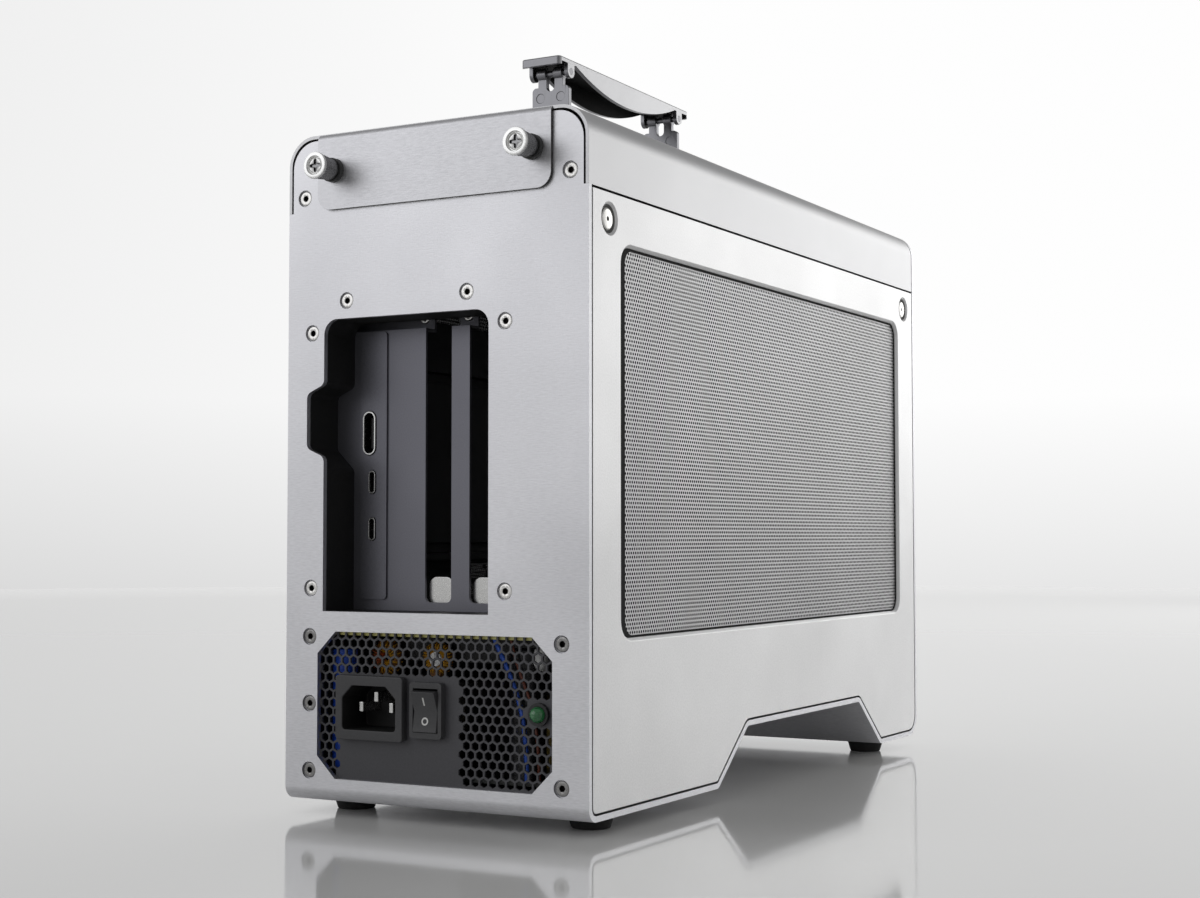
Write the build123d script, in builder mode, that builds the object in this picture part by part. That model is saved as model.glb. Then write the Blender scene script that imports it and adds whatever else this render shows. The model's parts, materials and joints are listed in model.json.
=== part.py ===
# External graphics card enclosure: a folded aluminium body with a lift-out handle,
# a slot window for a graphics card, and a small power supply in its rear foot.
# Millimetres, +Z up, rear (socket) face towards -Y, origin under the middle of the bounding box.
import os
from math import cos, radians

from build123d import *

os.makedirs("parts", exist_ok=True)

# Overall sizes
body_width = 135.6
body_depth = 346.0
body_top = 264.6
foot_height = 5.7
thumb_reach = 14.0

# Clearances
panel_gap = 0.8
fit_gap = 0.3
thread_gap = 0.05
run_gap = 0.05

# Body band: one strip folded into rear panel, bottom, arch and front panel
strip_sheet = 2.2
rear_bend = 5.5
front_bend = 11.0
arch_height = 28.4
arch_gap = 4.8
front_leg_length = 53.0
arch_slope_run = 29.0
arch_bend = 4.0
strip_overrun = 40.0

# Top cover: U section with a tab folded down at the rear
cover_sheet = 1.3
cover_corner = 12.0
cover_drop = 30.0
tab_inset = 15.0
tab_drop = 30.0
tab_corner = 6.0
tab_bend = 2.6
tab_lift = 0.1

# Side panels and their recessed meshes
panel_sheet = 2.0
window_rear = 25.3
window_front_inset = 25.1
window_bottom = 70.0
window_drop = 19.2
window_corner = 7.0
window_bevel = 1.2
mesh_sheet = 1.0
mesh_lap = 4.0
mesh_columns = 12
mesh_rows = 6
mesh_bar = 7.0
side_screw_drop = 10.5
side_screw_inset = 15.6
side_head_radius = 4.1
side_head_thick = 0.8
side_shank_radius = 1.5
dish_outer_radius = 6.3
dish_inner_radius = 4.5
dish_depth = 1.5
dish_web = 1.5
dish_rim = 1.2
bracket_sheet = 2.0
bracket_reach = 24.0
bracket_tail = 8.1
bracket_rise = 14.4
bracket_width = 16.0

# Slot window in the rear panel, with a bay on its left edge for the display plug
slot_inset = 17.5
slot_width = 75.6
slot_rise = 1.4
slot_height = 113.1
slot_corner = 6.0
bay_reach = 8.2
bay_slope = 3.5
bay_corner = 3.0
bay_flare = 4.6
bay_below = 9.9
bay_above = 18.3
tunnel_wall = 1.5
tunnel_depth = 20.0
frame_lip = 11.0

# Card frame: slot plate and shelf folded from one sheet
frame_sheet = 1.2
card_slot_width = 12.0
card_slot_corner = 2.4
card_slot_rise = 4.7
card_slot_over = 4.6
card_slot_pitch = 20.32
first_slot_offset = 40.1
shelf_gap = 1.25
shelf_side_gap = 2.8
ledge_drop = 3.0
ledge_depth = 6.0
slot_plate_over = 13.1
frame_flange = 14.0
bracket_screw_radius = 1.5
bracket_head_radius = 2.2
bracket_screw_over = 1.5
bracket_screw_shift = -10.0
shelf_cut_width = 44.0
shelf_cut_gap = 2.3
shelf_cut_length = 14.0
guide_sheet = 1.0
guide_gap = 1.2
guide_width = 12.0
guide_height = 14.6
guide_corner = 4.0

# Interface card
io_width = 12.6
io_offset = 9.8
io_rise = 5.6
io_top_gap = 0.6
io_sheet = 0.8
io_corner = 1.6
board_sheet = 1.6
io_board_shift = 1.2
io_board_depth = 120.0
io_board_rise = 13.0
io_board_over = 4.1
usb_shift = -0.4
display_shift = -1.8
port_cut_below = 12.0
port_cut_above = 24.0
usb_long = 8.94
usb_thick = 3.2
usb_depth = 8.6
usb_wall = 0.4
usb_tongue = (0.7, 6.7, 6.9)
usb_upper_rise = 46.0
usb_lower_rise = 27.6
display_long = 17.2
display_thick = 6.0
display_depth = 13.0
display_wall = 0.6
display_tongue = (1.2, 12.0, 10.4)
display_rise = 65.4
port_reach = 0.6
spreader_inset = 2.0
spreader_reach = 9.0
groove_height = 4.0
groove_depth = 5.0
groove_low = 5.0
groove_high = 22.0

# Backplane
standoff_height = 4.0
standoff_radius = 2.6
backplane_side_gap = 7.8
backplane_length = 170.0
backplane_setback = 4.0
connector_length = 89.0
connector_width = 7.5
connector_height = 11.0
connector_start = 40.0
connector_slit = 1.8
connector_slit_depth = 8.8
header_size = (22.0, 11.0, 12.0)
header_inset = 24.0
header_gap = 4.0

# Power supply, small standard format with its four-corner screw pattern
psu_side_gap = 5.3
psu_floor_gap = 3.55
psu_height = 63.5
psu_length = 100.0
psu_screw_inset = 6.0
psu_sheet = 1.0
psu_window_inset = 9.9
psu_window_low = 3.35
psu_window_high = 3.85
psu_window_chamfer = 8.5
hex_pitch = 3.82
hex_across = 3.0
vent_margin = 1.2
vent_side = 0.3
vent_drop = 1.1
vent_clear = 5.5
inlet_x = -27.6
inlet_drop = 0.7
inlet_width = 31.0
inlet_height = 24.4
inlet_flange = 3.4
recess_width = 24.6
recess_height = 16.8
recess_chamfer = 4.6
recess_depth = 16.0
inlet_floor = 2.0
blade_width = 2.0
blade_height = 4.0
blade_length = 11.0
blade_spread = 7.0
blade_rise = 4.0
switch_gap = 3.0
switch_drop = 0.5
switch_width = 14.4
switch_height = 20.9
switch_flange = 2.9
rocker_width = 10.6
rocker_height = 15.2
rocker_depth = 9.0
rocker_swing = 14.0
switch_wall = 1.4
pivot_radius = 1.2
lamp_inset = 6.4
lamp_rise = 0.1
lamp_radius = 3.0
lamp_bezel = 4.2
lamp_bezel_depth = 1.6
lamp_tail = 5.0
inlet_wall = 1.4
blade_tail = 4.0
rocker_end_gap = 0.6
rocker_side_gap = 0.3
rocker_proud = 1.6
rocker_dip = 0.4
rocker_root = 4.4
switch_depth = 14.0
pivot_setback = 0.9
pivot_reach = 0.9
psu_board_gap = 4.0
psu_post_radius = 2.5
psu_post_inset = 30.0
psu_board_edge = 8.0
coils = ((-37.0, 4.3, 2.3), (-13.0, 4.6, 1.5))
coil_rise = 42.1
coil_setback = 3.6
coil_post = (5.0, 4.0)
capacitors = ((-48.0, 12.0, 5.0, 45.95), (34.0, 14.0, 7.0, 47.95), (-46.0, 64.0, 11.0, 33.95))
transformer_size = (30.0, 26.0, 26.0)
transformer_place = (26.0, 58.0)
sink_size = (3.0, 64.0, 30.0)
sink_xs = (-20.0, 50.0)
sink_y = 64.0
harness_radius = 5.0
harness_drop = 3.2
harness_bend = 8.5

# Screws
button_radius = 2.9
button_height = 0.8
button_taper = 22.0
screw_sink_radius = 3.25
screw_sink = 1.3
screw_radius = 1.75
screw_length = 6.0
socket_radius = 1.15
socket_depth = 1.2
corner_screw_inset = 7.7
corner_screw_drop = 24.3
frame_screw_left_gap = 5.8
frame_screw_right_gap = 7.1
frame_screw_rise = 8.8
frame_screw_drop = 5.0
bar_screw_left_inset = 10.6
bar_screw_right_inset = 9.8
bar_screw_over = 6.9

# Thumbscrews
thumb_inset = 7.8
thumb_drop = 14.9
thumb_head_radius = 5.2
thumb_neck_radius = 4.1
thumb_rim = 1.4
thumb_dish_radius = 3.6
thumb_dish_depth = 0.5
thumb_cross_width = 1.1
thumb_cross_depth = 1.0
collar_radius = 4.7
collar_spigot = 3.4
collar_length = 2.2
thumb_shank_radius = 2.0
thumb_nut_radius = 4.0
thumb_nut_length = 4.0

# Handle, raised
grip_center = 139.5
grip_length = 120.0
grip_width = 18.8
grip_rise = 42.4
grip_plate = 2.0
grip_end_drop = 3.5
grip_wall = 1.8
grip_corner = 1.7
grip_edge = 0.7
grip_bow_gap = 4.5
grip_bow_drop = 8.5
handle_travel = 40.0
leg_end_inset = 9.5
leg_side_gap = 0.6
leg_sheet = 2.4
leg_corner = 1.8
prong_width = 4.0
prong_center = 3.9
pin_radius = 1.3
knuckle_radius = 2.7
foot_catch = 1.4
dimple_radius = 2.0
dimple_depth = 0.3
dimple_drop = 4.6
dimple_center = 4.9
leg_foot_height = 8.0
ear_half = 2.8
ear_gap = 2.8
well_gap = 0.8
well_sheet = 1.2
well_end_gap = 1.4
well_lip = 5.0
rib_width = 1.5
rib_reach = 1.5
mouth_gap = 0.8
mouth_corner = 3.0

# Feet
foot_top_radius = 9.0
foot_bottom_radius = 7.3
foot_inset = 14.3
foot_rear_y = 27.0
foot_front_inset = 36.9
foot_screw_radius = 1.7
foot_hole_radius = 3.6
foot_web = 2.4

# Fans
front_fan_side_gap = 5.8
front_fan_depth = 25.0
front_fan_room_below = 14.6
front_fan_room_above = 4.0
psu_fan_size = 72.0
psu_fan_depth = 15.0
psu_fan_inset = 38.2
fan_corner = 6.0
fan_rim = 2.6
fan_tip_gap = 1.2
fan_hub_share = 0.36
fan_plate = 2.4
fan_strut = 5.0
fan_shaft_radius = 1.5
fan_blades = 7
fan_blade_sheet = 1.4
fan_pitch = 38.0
fan_hole_radius = 2.1
fan_hole_inset = 7.5
fan_root_sink = 1.0
vent_slot_width = 4.0
vent_slot_pitch = 11.0
vent_slots = 9


def rear_plane(setback):
    """Sketch plane facing the rear, a set distance in from the rear face: local axes are X and Z."""
    return Plane(origin=(0, rear_y + setback, 0), x_dir=(1, 0, 0), z_dir=(0, -1, 0))


def save(piece, name):
    """Label a finished piece and write it to its own file."""
    piece.label = name
    export_step(piece, f"parts/{name}.step")


def side_region(plane_x, inset, top):
    """Side view of the body up to a given height, drawn in by inset, at a given X."""
    arch_rear = rear_y + arch_start
    arch_front = arch_rear + arch_length
    corners = [
        (rear_y, top),
        (rear_y, foot_height),
        (arch_rear, foot_height),
        (arch_rear + arch_slope_run, arch_height),
        (arch_front - arch_slope_run, arch_height),
        (arch_front, foot_height),
        (front_y, foot_height),
        (front_y, top),
    ]
    with BuildSketch(Plane.YZ.offset(plane_x)) as region:
        Polygon(*corners, align=None)
        fillet(region.vertices().sort_by_distance(corners[1])[0], radius=rear_bend)
        fillet(region.vertices().sort_by_distance(corners[6])[0], radius=front_bend)
        for bend in corners[2:6]:
            fillet(region.vertices().sort_by_distance(bend)[0], radius=arch_bend)
        if inset > 0:
            offset(amount=-inset, mode=Mode.REPLACE)
    return region.sketch


def slot_outline(plane, grow, flare):
    """Slot window outline with its bay, widened below by a flare and grown outwards by a wall."""
    corners = [
        (slot_left, slot_bottom),
        (slot_right, slot_bottom),
        (slot_right, slot_top),
        (slot_left, slot_top),
        (slot_left, bay_top),
        (slot_left - bay_reach, bay_top - bay_slope),
        (slot_left - bay_reach, bay_bottom + bay_slope),
        (slot_left, bay_bottom - flare),
    ]
    with BuildSketch(plane) as outline:
        Polygon(*corners, align=None)
        for corner in corners[2:4]:
            fillet(outline.vertices().sort_by_distance(corner)[0], radius=slot_corner)
        for corner in corners[4:]:
            fillet(outline.vertices().sort_by_distance(corner)[0], radius=bay_corner)
        if grow > 0:
            offset(amount=grow, kind=Kind.INTERSECTION, mode=Mode.REPLACE)
    return outline.sketch


def button_screws(points, plane, length):
    """Flat socket screws sunk below a plane, shanks running into it."""
    seat = plane.offset(-screw_sink)
    with BuildPart() as screws:
        with BuildSketch(seat):
            with Locations(*points):
                Circle(button_radius)
        extrude(amount=button_height, taper=button_taper)
        with BuildSketch(seat):
            with Locations(*points):
                Circle(screw_radius)
        extrude(amount=screw_sink - length)
        with BuildSketch(seat.offset(button_height)):
            with Locations(*points):
                RegularPolygon(socket_radius, 6)
        extrude(amount=-socket_depth, mode=Mode.SUBTRACT)
    return screws.part


def fan_frame(plane, size, depth):
    """Square fan frame with a round duct, corner holes and a strutted hub plate."""
    duct = size / 2 - fan_rim
    hub = duct * fan_hub_share
    hole_spread = size - 2 * fan_hole_inset
    with BuildPart() as frame:
        with BuildSketch(plane):
            RectangleRounded(size, size, fan_corner)
            Circle(duct, mode=Mode.SUBTRACT)
            with GridLocations(hole_spread, hole_spread, 2, 2):
                Circle(fan_hole_radius, mode=Mode.SUBTRACT)
        extrude(amount=depth)
        with BuildSketch(plane):
            Circle(hub)
            with PolarLocations(0, 4, start_angle=45):
                Rectangle(duct + fan_rim / 2, fan_strut, align=(Align.MIN, Align.CENTER))
            Circle(fan_shaft_radius + run_gap, mode=Mode.SUBTRACT)
        extrude(amount=fan_plate)
    return frame.part


def fan_rotor(plane, size, depth):
    """Fan rotor: hub, pitched blades and a shaft that runs in the hub plate."""
    duct = size / 2 - fan_rim
    hub = duct * fan_hub_share
    hub_start = fan_plate + fit_gap
    hub_length = depth - hub_start - 2 * fit_gap
    chord = (hub_length - fan_blade_sheet) / cos(radians(fan_pitch))
    with BuildPart() as rotor:
        with BuildSketch(plane.offset(hub_start)):
            Circle(hub)
        extrude(amount=hub_length)
        with BuildSketch(plane):
            Circle(fan_shaft_radius)
        extrude(amount=hub_start + fan_root_sink)
        for index in range(fan_blades):
            turn = Location((0, 0, 0), (0, 0, 360 / fan_blades * index))
            root = Location((hub - fan_root_sink, 0, hub_start + hub_length / 2), (0, 90, 0))
            with BuildSketch(Plane(plane.location * turn * root)):
                Rectangle(chord, fan_blade_sheet, rotation=fan_pitch)
            extrude(amount=duct - fan_tip_gap - hub + fan_root_sink)
    return rotor.part


# Shared places worked out from the sizes above; only the thumbscrews reach past the body
rear_y = (thumb_reach - body_depth) / 2
front_y = rear_y + body_depth
half_width = body_width / 2
front_inner = body_depth - strip_sheet
inner_top = body_top - cover_sheet - panel_gap
seam_height = body_top - cover_drop
tab_width = body_width - 2 * tab_inset
tab_bottom = body_top - tab_drop
window_front = body_depth - window_front_inset
window_top = seam_height - window_drop
side_screw_height = seam_height - side_screw_drop
bracket_bottom = side_screw_height - bracket_tail
bracket_top = seam_height + bracket_rise

# Power supply, then the shelf over it and the slot window over the shelf
psu_face = strip_sheet
psu_width = body_width - 2 * psu_side_gap
psu_bottom = foot_height + strip_sheet + psu_floor_gap
psu_top = psu_bottom + psu_height
psu_center_z = psu_bottom + psu_height / 2
psu_window_half = psu_width / 2 - psu_window_inset
psu_window_bottom = psu_bottom + psu_window_low
psu_window_top = psu_top - psu_window_high
psu_screw_x = psu_width / 2 - psu_screw_inset
psu_screw_z = psu_height / 2 - psu_screw_inset
inlet_z = psu_center_z - inlet_drop
switch_x = inlet_x + inlet_width / 2 + switch_gap + switch_width / 2
switch_z = psu_center_z - switch_drop
lamp_x = psu_window_half - lamp_inset
lamp_z = psu_center_z + lamp_rise
arch_start = psu_face + psu_length + arch_gap
arch_length = body_depth - front_leg_length - arch_start
shelf_height = psu_top + shelf_gap
shelf_top = shelf_height + frame_sheet
shelf_half = half_width - panel_sheet - shelf_side_gap
shelf_cut_y = psu_face + psu_length + shelf_cut_gap
board_floor = shelf_top + standoff_height
plate_y = rear_y + tunnel_depth
slot_left = slot_inset - half_width
slot_right = slot_left + slot_width
slot_bottom = shelf_top + slot_rise
slot_top = slot_bottom + slot_height
ledge_height = slot_top - ledge_drop
slot_plate_top = slot_top + slot_plate_over
card_slot_bottom = shelf_top + card_slot_rise
card_slot_top = slot_top + card_slot_over
first_slot_x = slot_left + first_slot_offset
bracket_screw_z = slot_top + bracket_screw_over

# Interface card
io_x = slot_left + io_offset
io_bottom = shelf_top + io_rise
io_top = ledge_height - io_top_gap
io_board_x = io_x + io_board_shift
io_board_bottom = io_bottom + io_board_rise
io_board_top = slot_top + io_board_over
usb_upper_z = io_bottom + usb_upper_rise
usb_lower_z = io_bottom + usb_lower_rise
display_z = io_bottom + display_rise
bay_bottom = display_z - bay_below
bay_top = display_z + bay_above
backplane_right = half_width - panel_sheet - backplane_side_gap
header_x = backplane_right - header_inset

# Handle
grip_top = body_top + grip_rise
grip_y = rear_y + grip_center
leg_spread = grip_length / 2 - leg_end_inset
leg_places = [grip_y - leg_spread, grip_y + leg_spread]
leg_width = grip_width - 2 * leg_side_gap
pin_height = grip_top - grip_plate - fit_gap - knuckle_radius
leg_shoulder = pin_height - ear_half - ear_gap
mouth_half = grip_width / 2 + mouth_gap
leg_foot_half = mouth_half + foot_catch
well_half = leg_foot_half + well_gap
mouth_length = grip_length + 2 * mouth_gap
cover_under = body_top - cover_sheet
leg_foot_top = cover_under - fit_gap
leg_bottom = leg_foot_top - leg_foot_height
well_floor = leg_bottom - handle_travel - fit_gap

# Screws, feet and fans
corner_screw_x = half_width - corner_screw_inset
corner_screw_z = body_top - corner_screw_drop
frame_screw_left = slot_left - frame_screw_left_gap
frame_screw_right = slot_right + frame_screw_right_gap
frame_screw_low = slot_bottom + frame_screw_rise
frame_screw_high = slot_top - frame_screw_drop
bar_screw_left = slot_left + bar_screw_left_inset
bar_screw_right = slot_right - bar_screw_right_inset
bar_screw_z = slot_top + bar_screw_over
thumb_x = tab_width / 2 - thumb_inset
thumb_z = body_top - thumb_drop
foot_x = half_width - foot_inset
foot_front_y = body_depth - foot_front_inset
front_fan_size = body_width - 2 * (panel_sheet + front_fan_side_gap)
front_fan_room = bracket_bottom - shelf_top - front_fan_size
room_share_below = front_fan_room_below / (front_fan_room_below + front_fan_room_above)
front_fan_z = shelf_top + front_fan_room * room_share_below + front_fan_size / 2
psu_fan_y = psu_face + psu_length - psu_fan_inset
psu_screw_points = [
    (-psu_screw_x, psu_center_z + psu_screw_z),
    (psu_screw_x, psu_center_z + psu_screw_z),
    (-psu_screw_x, psu_center_z),
    (-psu_screw_x, psu_center_z - psu_screw_z),
    (psu_screw_x, psu_center_z - psu_screw_z),
]
frame_screw_points = [
    (x, z) for x in (frame_screw_left, frame_screw_right) for z in (frame_screw_low, frame_screw_high)
]
bar_screw_points = [(bar_screw_left, bar_screw_z), (bar_screw_right, bar_screw_z)]
corner_screw_points = [(-corner_screw_x, corner_screw_z), (corner_screw_x, corner_screw_z)]
thumb_points = [(-thumb_x, thumb_z), (thumb_x, thumb_z)]
foot_points = [
    (x, rear_y + y) for x in (-foot_x, foot_x) for y in (foot_rear_y, foot_front_y)
]
card_slot_points = [first_slot_x, first_slot_x + card_slot_pitch]
side_screw_ys = [rear_y + side_screw_inset, front_y - side_screw_inset]
front_fan_plane = Plane(
    origin=(0, rear_y + front_inner, front_fan_z), x_dir=(1, 0, 0), z_dir=(0, -1, 0)
)
front_fan_spread = front_fan_size - 2 * fan_hole_inset
psu_fan_plane = Plane(
    origin=(0, rear_y + psu_fan_y, psu_top - psu_sheet), x_dir=(1, 0, 0), z_dir=(0, 0, -1)
)

# Body band: the strip, then the rear and front panels trimmed at the top and pierced
with BuildPart() as body_band:
    extrude(side_region(0, 0, body_top), amount=half_width, both=True)
    inner_region = side_region(0, strip_sheet, body_top + strip_overrun)
    extrude(inner_region, amount=body_width, both=True, mode=Mode.SUBTRACT)
    rear_half = half_width - cover_sheet - panel_gap
    with BuildSketch(rear_plane(0)):
        with Locations((0, seam_height)):
            Rectangle(2 * body_width, body_top, align=(Align.CENTER, Align.MIN))
        with BuildSketch(mode=Mode.SUBTRACT) as rear_top:
            with Locations((0, inner_top)):
                Rectangle(2 * rear_half, 2 * cover_corner, align=(Align.CENTER, Align.MAX))
            fillet(rear_top.vertices().group_by(Axis.Y)[-1], radius=cover_corner - cover_sheet)
            with Locations((0, seam_height)):
                Rectangle(2 * rear_half, cover_corner, align=(Align.CENTER, Align.MIN))
    extrude(amount=-strip_sheet, mode=Mode.SUBTRACT)
    with BuildSketch(rear_plane(front_inner)):
        with Locations((0, seam_height)):
            Rectangle(2 * body_width, body_top, align=(Align.CENTER, Align.MIN))
        with BuildSketch(mode=Mode.SUBTRACT) as front_top:
            with Locations((0, body_top)):
                Rectangle(body_width, 2 * cover_corner, align=(Align.CENTER, Align.MAX))
            fillet(front_top.vertices().group_by(Axis.Y)[-1], radius=cover_corner)
            with Locations((0, seam_height)):
                Rectangle(body_width, cover_corner, align=(Align.CENTER, Align.MIN))
    extrude(amount=-strip_sheet, mode=Mode.SUBTRACT)
    extrude(slot_outline(rear_plane(0), 0, 0), amount=-strip_sheet, mode=Mode.SUBTRACT)
    with BuildSketch(rear_plane(0)) as psu_window:
        with Locations((0, (psu_window_bottom + psu_window_top) / 2)):
            Rectangle(2 * psu_window_half, psu_window_top - psu_window_bottom)
        chamfer(psu_window.vertices(), length=psu_window_chamfer)
    extrude(amount=-strip_sheet, mode=Mode.SUBTRACT)
    with BuildSketch(rear_plane(0)):
        with Locations(*psu_screw_points, *frame_screw_points, *bar_screw_points, *corner_screw_points):
            Circle(screw_radius + thread_gap)
        with Locations(*thumb_points):
            Circle(thumb_shank_radius + fit_gap)
    extrude(amount=-strip_sheet, mode=Mode.SUBTRACT)
    with BuildSketch(rear_plane(0)):
        with Locations(*psu_screw_points, *frame_screw_points, *bar_screw_points, *corner_screw_points):
            Circle(screw_sink_radius)
    extrude(amount=-screw_sink, mode=Mode.SUBTRACT)
    with BuildSketch(rear_plane(front_inner)):
        reach = front_fan_size / 2 - fan_rim
        for index in range(vent_slots):
            slot_x = (index - (vent_slots - 1) / 2) * vent_slot_pitch
            slot_length = 2 * (reach**2 - slot_x**2) ** 0.5
            with Locations((slot_x, front_fan_z)):
                SlotOverall(slot_length, vent_slot_width, rotation=90)
        with Locations((0, front_fan_z)):
            with GridLocations(front_fan_spread, front_fan_spread, 2, 2):
                Circle(screw_radius + thread_gap)
    extrude(amount=-strip_sheet, mode=Mode.SUBTRACT)
    with BuildSketch(rear_plane(body_depth - screw_sink)):
        with Locations((0, front_fan_z)):
            with GridLocations(front_fan_spread, front_fan_spread, 2, 2):
                Circle(screw_sink_radius)
    extrude(amount=-screw_sink, mode=Mode.SUBTRACT)
    with BuildSketch(Plane.XY.offset(foot_height)):
        with Locations(*foot_points):
            Circle(foot_screw_radius + thread_gap)
    extrude(amount=strip_sheet, mode=Mode.SUBTRACT)
save(body_band.part, "body_band")

# Top cover: U section, rear tab, handle mouth
cover_front = rear_y + front_inner - panel_gap
with BuildPart() as top_cover:
    with BuildSketch(rear_plane(0)) as cover_section:
        with Locations((0, body_top)):
            Rectangle(body_width, body_top - seam_height, align=(Align.CENTER, Align.MAX))
        fillet(cover_section.vertices().group_by(Axis.Y)[-1], radius=cover_corner)
        with BuildSketch(mode=Mode.SUBTRACT) as cover_hollow:
            with Locations((0, cover_under)):
                Rectangle(
                    body_width - 2 * cover_sheet, body_top, align=(Align.CENTER, Align.MAX)
                )
            fillet(cover_hollow.vertices().group_by(Axis.Y)[-1], radius=cover_corner - cover_sheet)
    extrude(amount=rear_y - cover_front)
    tab_back = rear_y - tab_lift - cover_sheet
    with BuildSketch(Plane.YZ) as tab_profile:
        with Locations((tab_back, body_top)):
            Rectangle(2 * cover_sheet + tab_lift, body_top - tab_bottom, align=(Align.MIN, Align.MAX))
        fillet(tab_profile.vertices().sort_by_distance((tab_back, body_top))[0], radius=tab_bend)
        with Locations((tab_back + cover_sheet, cover_under)):
            Rectangle(
                2 * cover_sheet, body_top, align=(Align.MIN, Align.MAX), mode=Mode.SUBTRACT
            )
    extrude(amount=tab_width / 2, both=True)
    fillet(
        top_cover.edges().filter_by(Axis.Y).group_by(Axis.Y)[0].group_by(Axis.Z)[0],
        radius=tab_corner,
    )
    with BuildSketch(rear_plane(0)):
        with Locations(*thumb_points):
            Circle(collar_spigot + thread_gap)
    extrude(amount=tab_lift + cover_sheet, mode=Mode.SUBTRACT)
    with BuildSketch(Plane.XY.offset(cover_under)):
        with Locations((0, grip_y)):
            RectangleRounded(2 * mouth_half, mouth_length, mouth_corner)
    extrude(amount=cover_sheet, mode=Mode.SUBTRACT)
save(top_cover.part, "top_cover")

# Side panels, each with a bevelled window and pressed screw dishes, and the mesh behind it
window_mid_y = rear_y + (window_rear + window_front) / 2
window_mid_z = (window_bottom + window_top) / 2
window_length = window_front - window_rear
window_height = window_top - window_bottom
mesh_column_pitch = window_length / mesh_columns
mesh_row_pitch = window_height / mesh_rows
dish_back = dish_depth + dish_web
for side, name in ((1, "right"), (-1, "left")):
    outer_x = side * half_width
    inner_x = side * (half_width - panel_sheet)
    screw_seats = [Location((outer_x, y, side_screw_height), (0, 90 * side, 0)) for y in side_screw_ys]
    with BuildPart() as side_panel:
        extrude(side_region(inner_x, strip_sheet + panel_gap, body_top), amount=side * panel_sheet)
        with BuildSketch(Plane.YZ.offset(inner_x)):
            with Locations((rear_y + body_depth / 2, seam_height - panel_gap)):
                Rectangle(2 * body_depth, body_top, align=(Align.CENTER, Align.MIN))
        extrude(amount=side * panel_sheet, mode=Mode.SUBTRACT)
        with BuildSketch(Plane.YZ.offset(inner_x)):
            with Locations((window_mid_y, window_mid_z)):
                RectangleRounded(window_length, window_height, window_corner)
        extrude(amount=side * panel_sheet, mode=Mode.SUBTRACT)
        outer_face = side_panel.faces().sort_by(Axis.X)[-1 if side > 0 else 0]
        chamfer(outer_face.inner_wires()[0].edges(), length=window_bevel)
        with Locations(*screw_seats):
            Cylinder(
                dish_inner_radius + dish_rim, dish_back, align=(Align.CENTER, Align.CENTER, Align.MAX)
            )
            Cone(
                dish_inner_radius,
                dish_outer_radius,
                dish_depth,
                align=(Align.CENTER, Align.CENTER, Align.MAX),
                mode=Mode.SUBTRACT,
            )
            Cylinder(
                side_shank_radius + thread_gap,
                dish_back,
                align=(Align.CENTER, Align.CENTER, Align.MAX),
                mode=Mode.SUBTRACT,
            )
    save(side_panel.part, f"side_panel_{name}")

    with BuildPart() as side_mesh:
        with BuildSketch(Plane.YZ.offset(inner_x)):
            with Locations((window_mid_y, window_mid_z)):
                Rectangle(window_length + 2 * mesh_lap, window_height + 2 * mesh_lap)
                with GridLocations(mesh_column_pitch, mesh_row_pitch, mesh_columns, mesh_rows):
                    Rectangle(
                        mesh_column_pitch - mesh_bar, mesh_row_pitch - mesh_bar, mode=Mode.SUBTRACT
                    )
        extrude(amount=-side * mesh_sheet)
    save(side_mesh.part, f"side_mesh_{name}")

# Flat-head screws of both side panels, sunk in their dishes
with BuildPart() as side_panel_screws:
    for side in (1, -1):
        seat_x = side * (half_width - dish_depth)
        with Locations(*[Location((seat_x, y, side_screw_height), (0, 90 * side, 0)) for y in side_screw_ys]):
            Cylinder(side_head_radius, side_head_thick, align=(Align.CENTER, Align.CENTER, Align.MIN))
            Cylinder(side_shank_radius, screw_length, align=(Align.CENTER, Align.CENTER, Align.MAX))
        with Locations(
            *[
                Location((seat_x + side * side_head_thick, y, side_screw_height), (0, 90 * side, 0))
                for y in side_screw_ys
            ]
        ):
            Cylinder(
                socket_radius,
                socket_depth,
                align=(Align.CENTER, Align.CENTER, Align.MAX),
                mode=Mode.SUBTRACT,
            )
save(side_panel_screws.part, "side_panel_screws")

# Angle brackets in the four upper corners, which the side and rear corner screws reach
bracket_outer = half_width - dish_back
with BuildPart() as corner_brackets:
    for side in (1, -1):
        for end_y, inward in ((rear_y + strip_sheet, 1), (rear_y + front_inner, -1)):
            along = Align.MIN if inward > 0 else Align.MAX
            across = Align.MAX if side > 0 else Align.MIN
            with Locations((side * bracket_outer, end_y, bracket_bottom)):
                Box(
                    bracket_width,
                    bracket_sheet,
                    bracket_top - bracket_bottom,
                    align=(across, along, Align.MIN),
                )
                Box(
                    bracket_sheet,
                    bracket_reach,
                    seam_height - bracket_bottom,
                    align=(across, along, Align.MIN),
                )
    with BuildSketch(rear_plane(strip_sheet)):
        with Locations(*corner_screw_points):
            Circle(screw_radius + thread_gap)
    extrude(amount=-bracket_sheet, mode=Mode.SUBTRACT)
    with BuildSketch(Plane.YZ):
        with Locations(*[(y, side_screw_height) for y in side_screw_ys]):
            Circle(side_shank_radius + thread_gap)
    extrude(amount=half_width, both=True, mode=Mode.SUBTRACT)
save(corner_brackets.part, "corner_brackets")

# Rear screws, by what they hold
save(button_screws(corner_screw_points, rear_plane(0), screw_length), "rear_corner_screws")
save(button_screws(psu_screw_points, rear_plane(0), screw_length), "psu_screws")
save(button_screws(frame_screw_points, rear_plane(0), screw_length), "slot_frame_screws")
bar_screw_length = tunnel_depth + ledge_depth
save(button_screws(bar_screw_points, rear_plane(0), bar_screw_length), "card_bar_screws")

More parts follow.
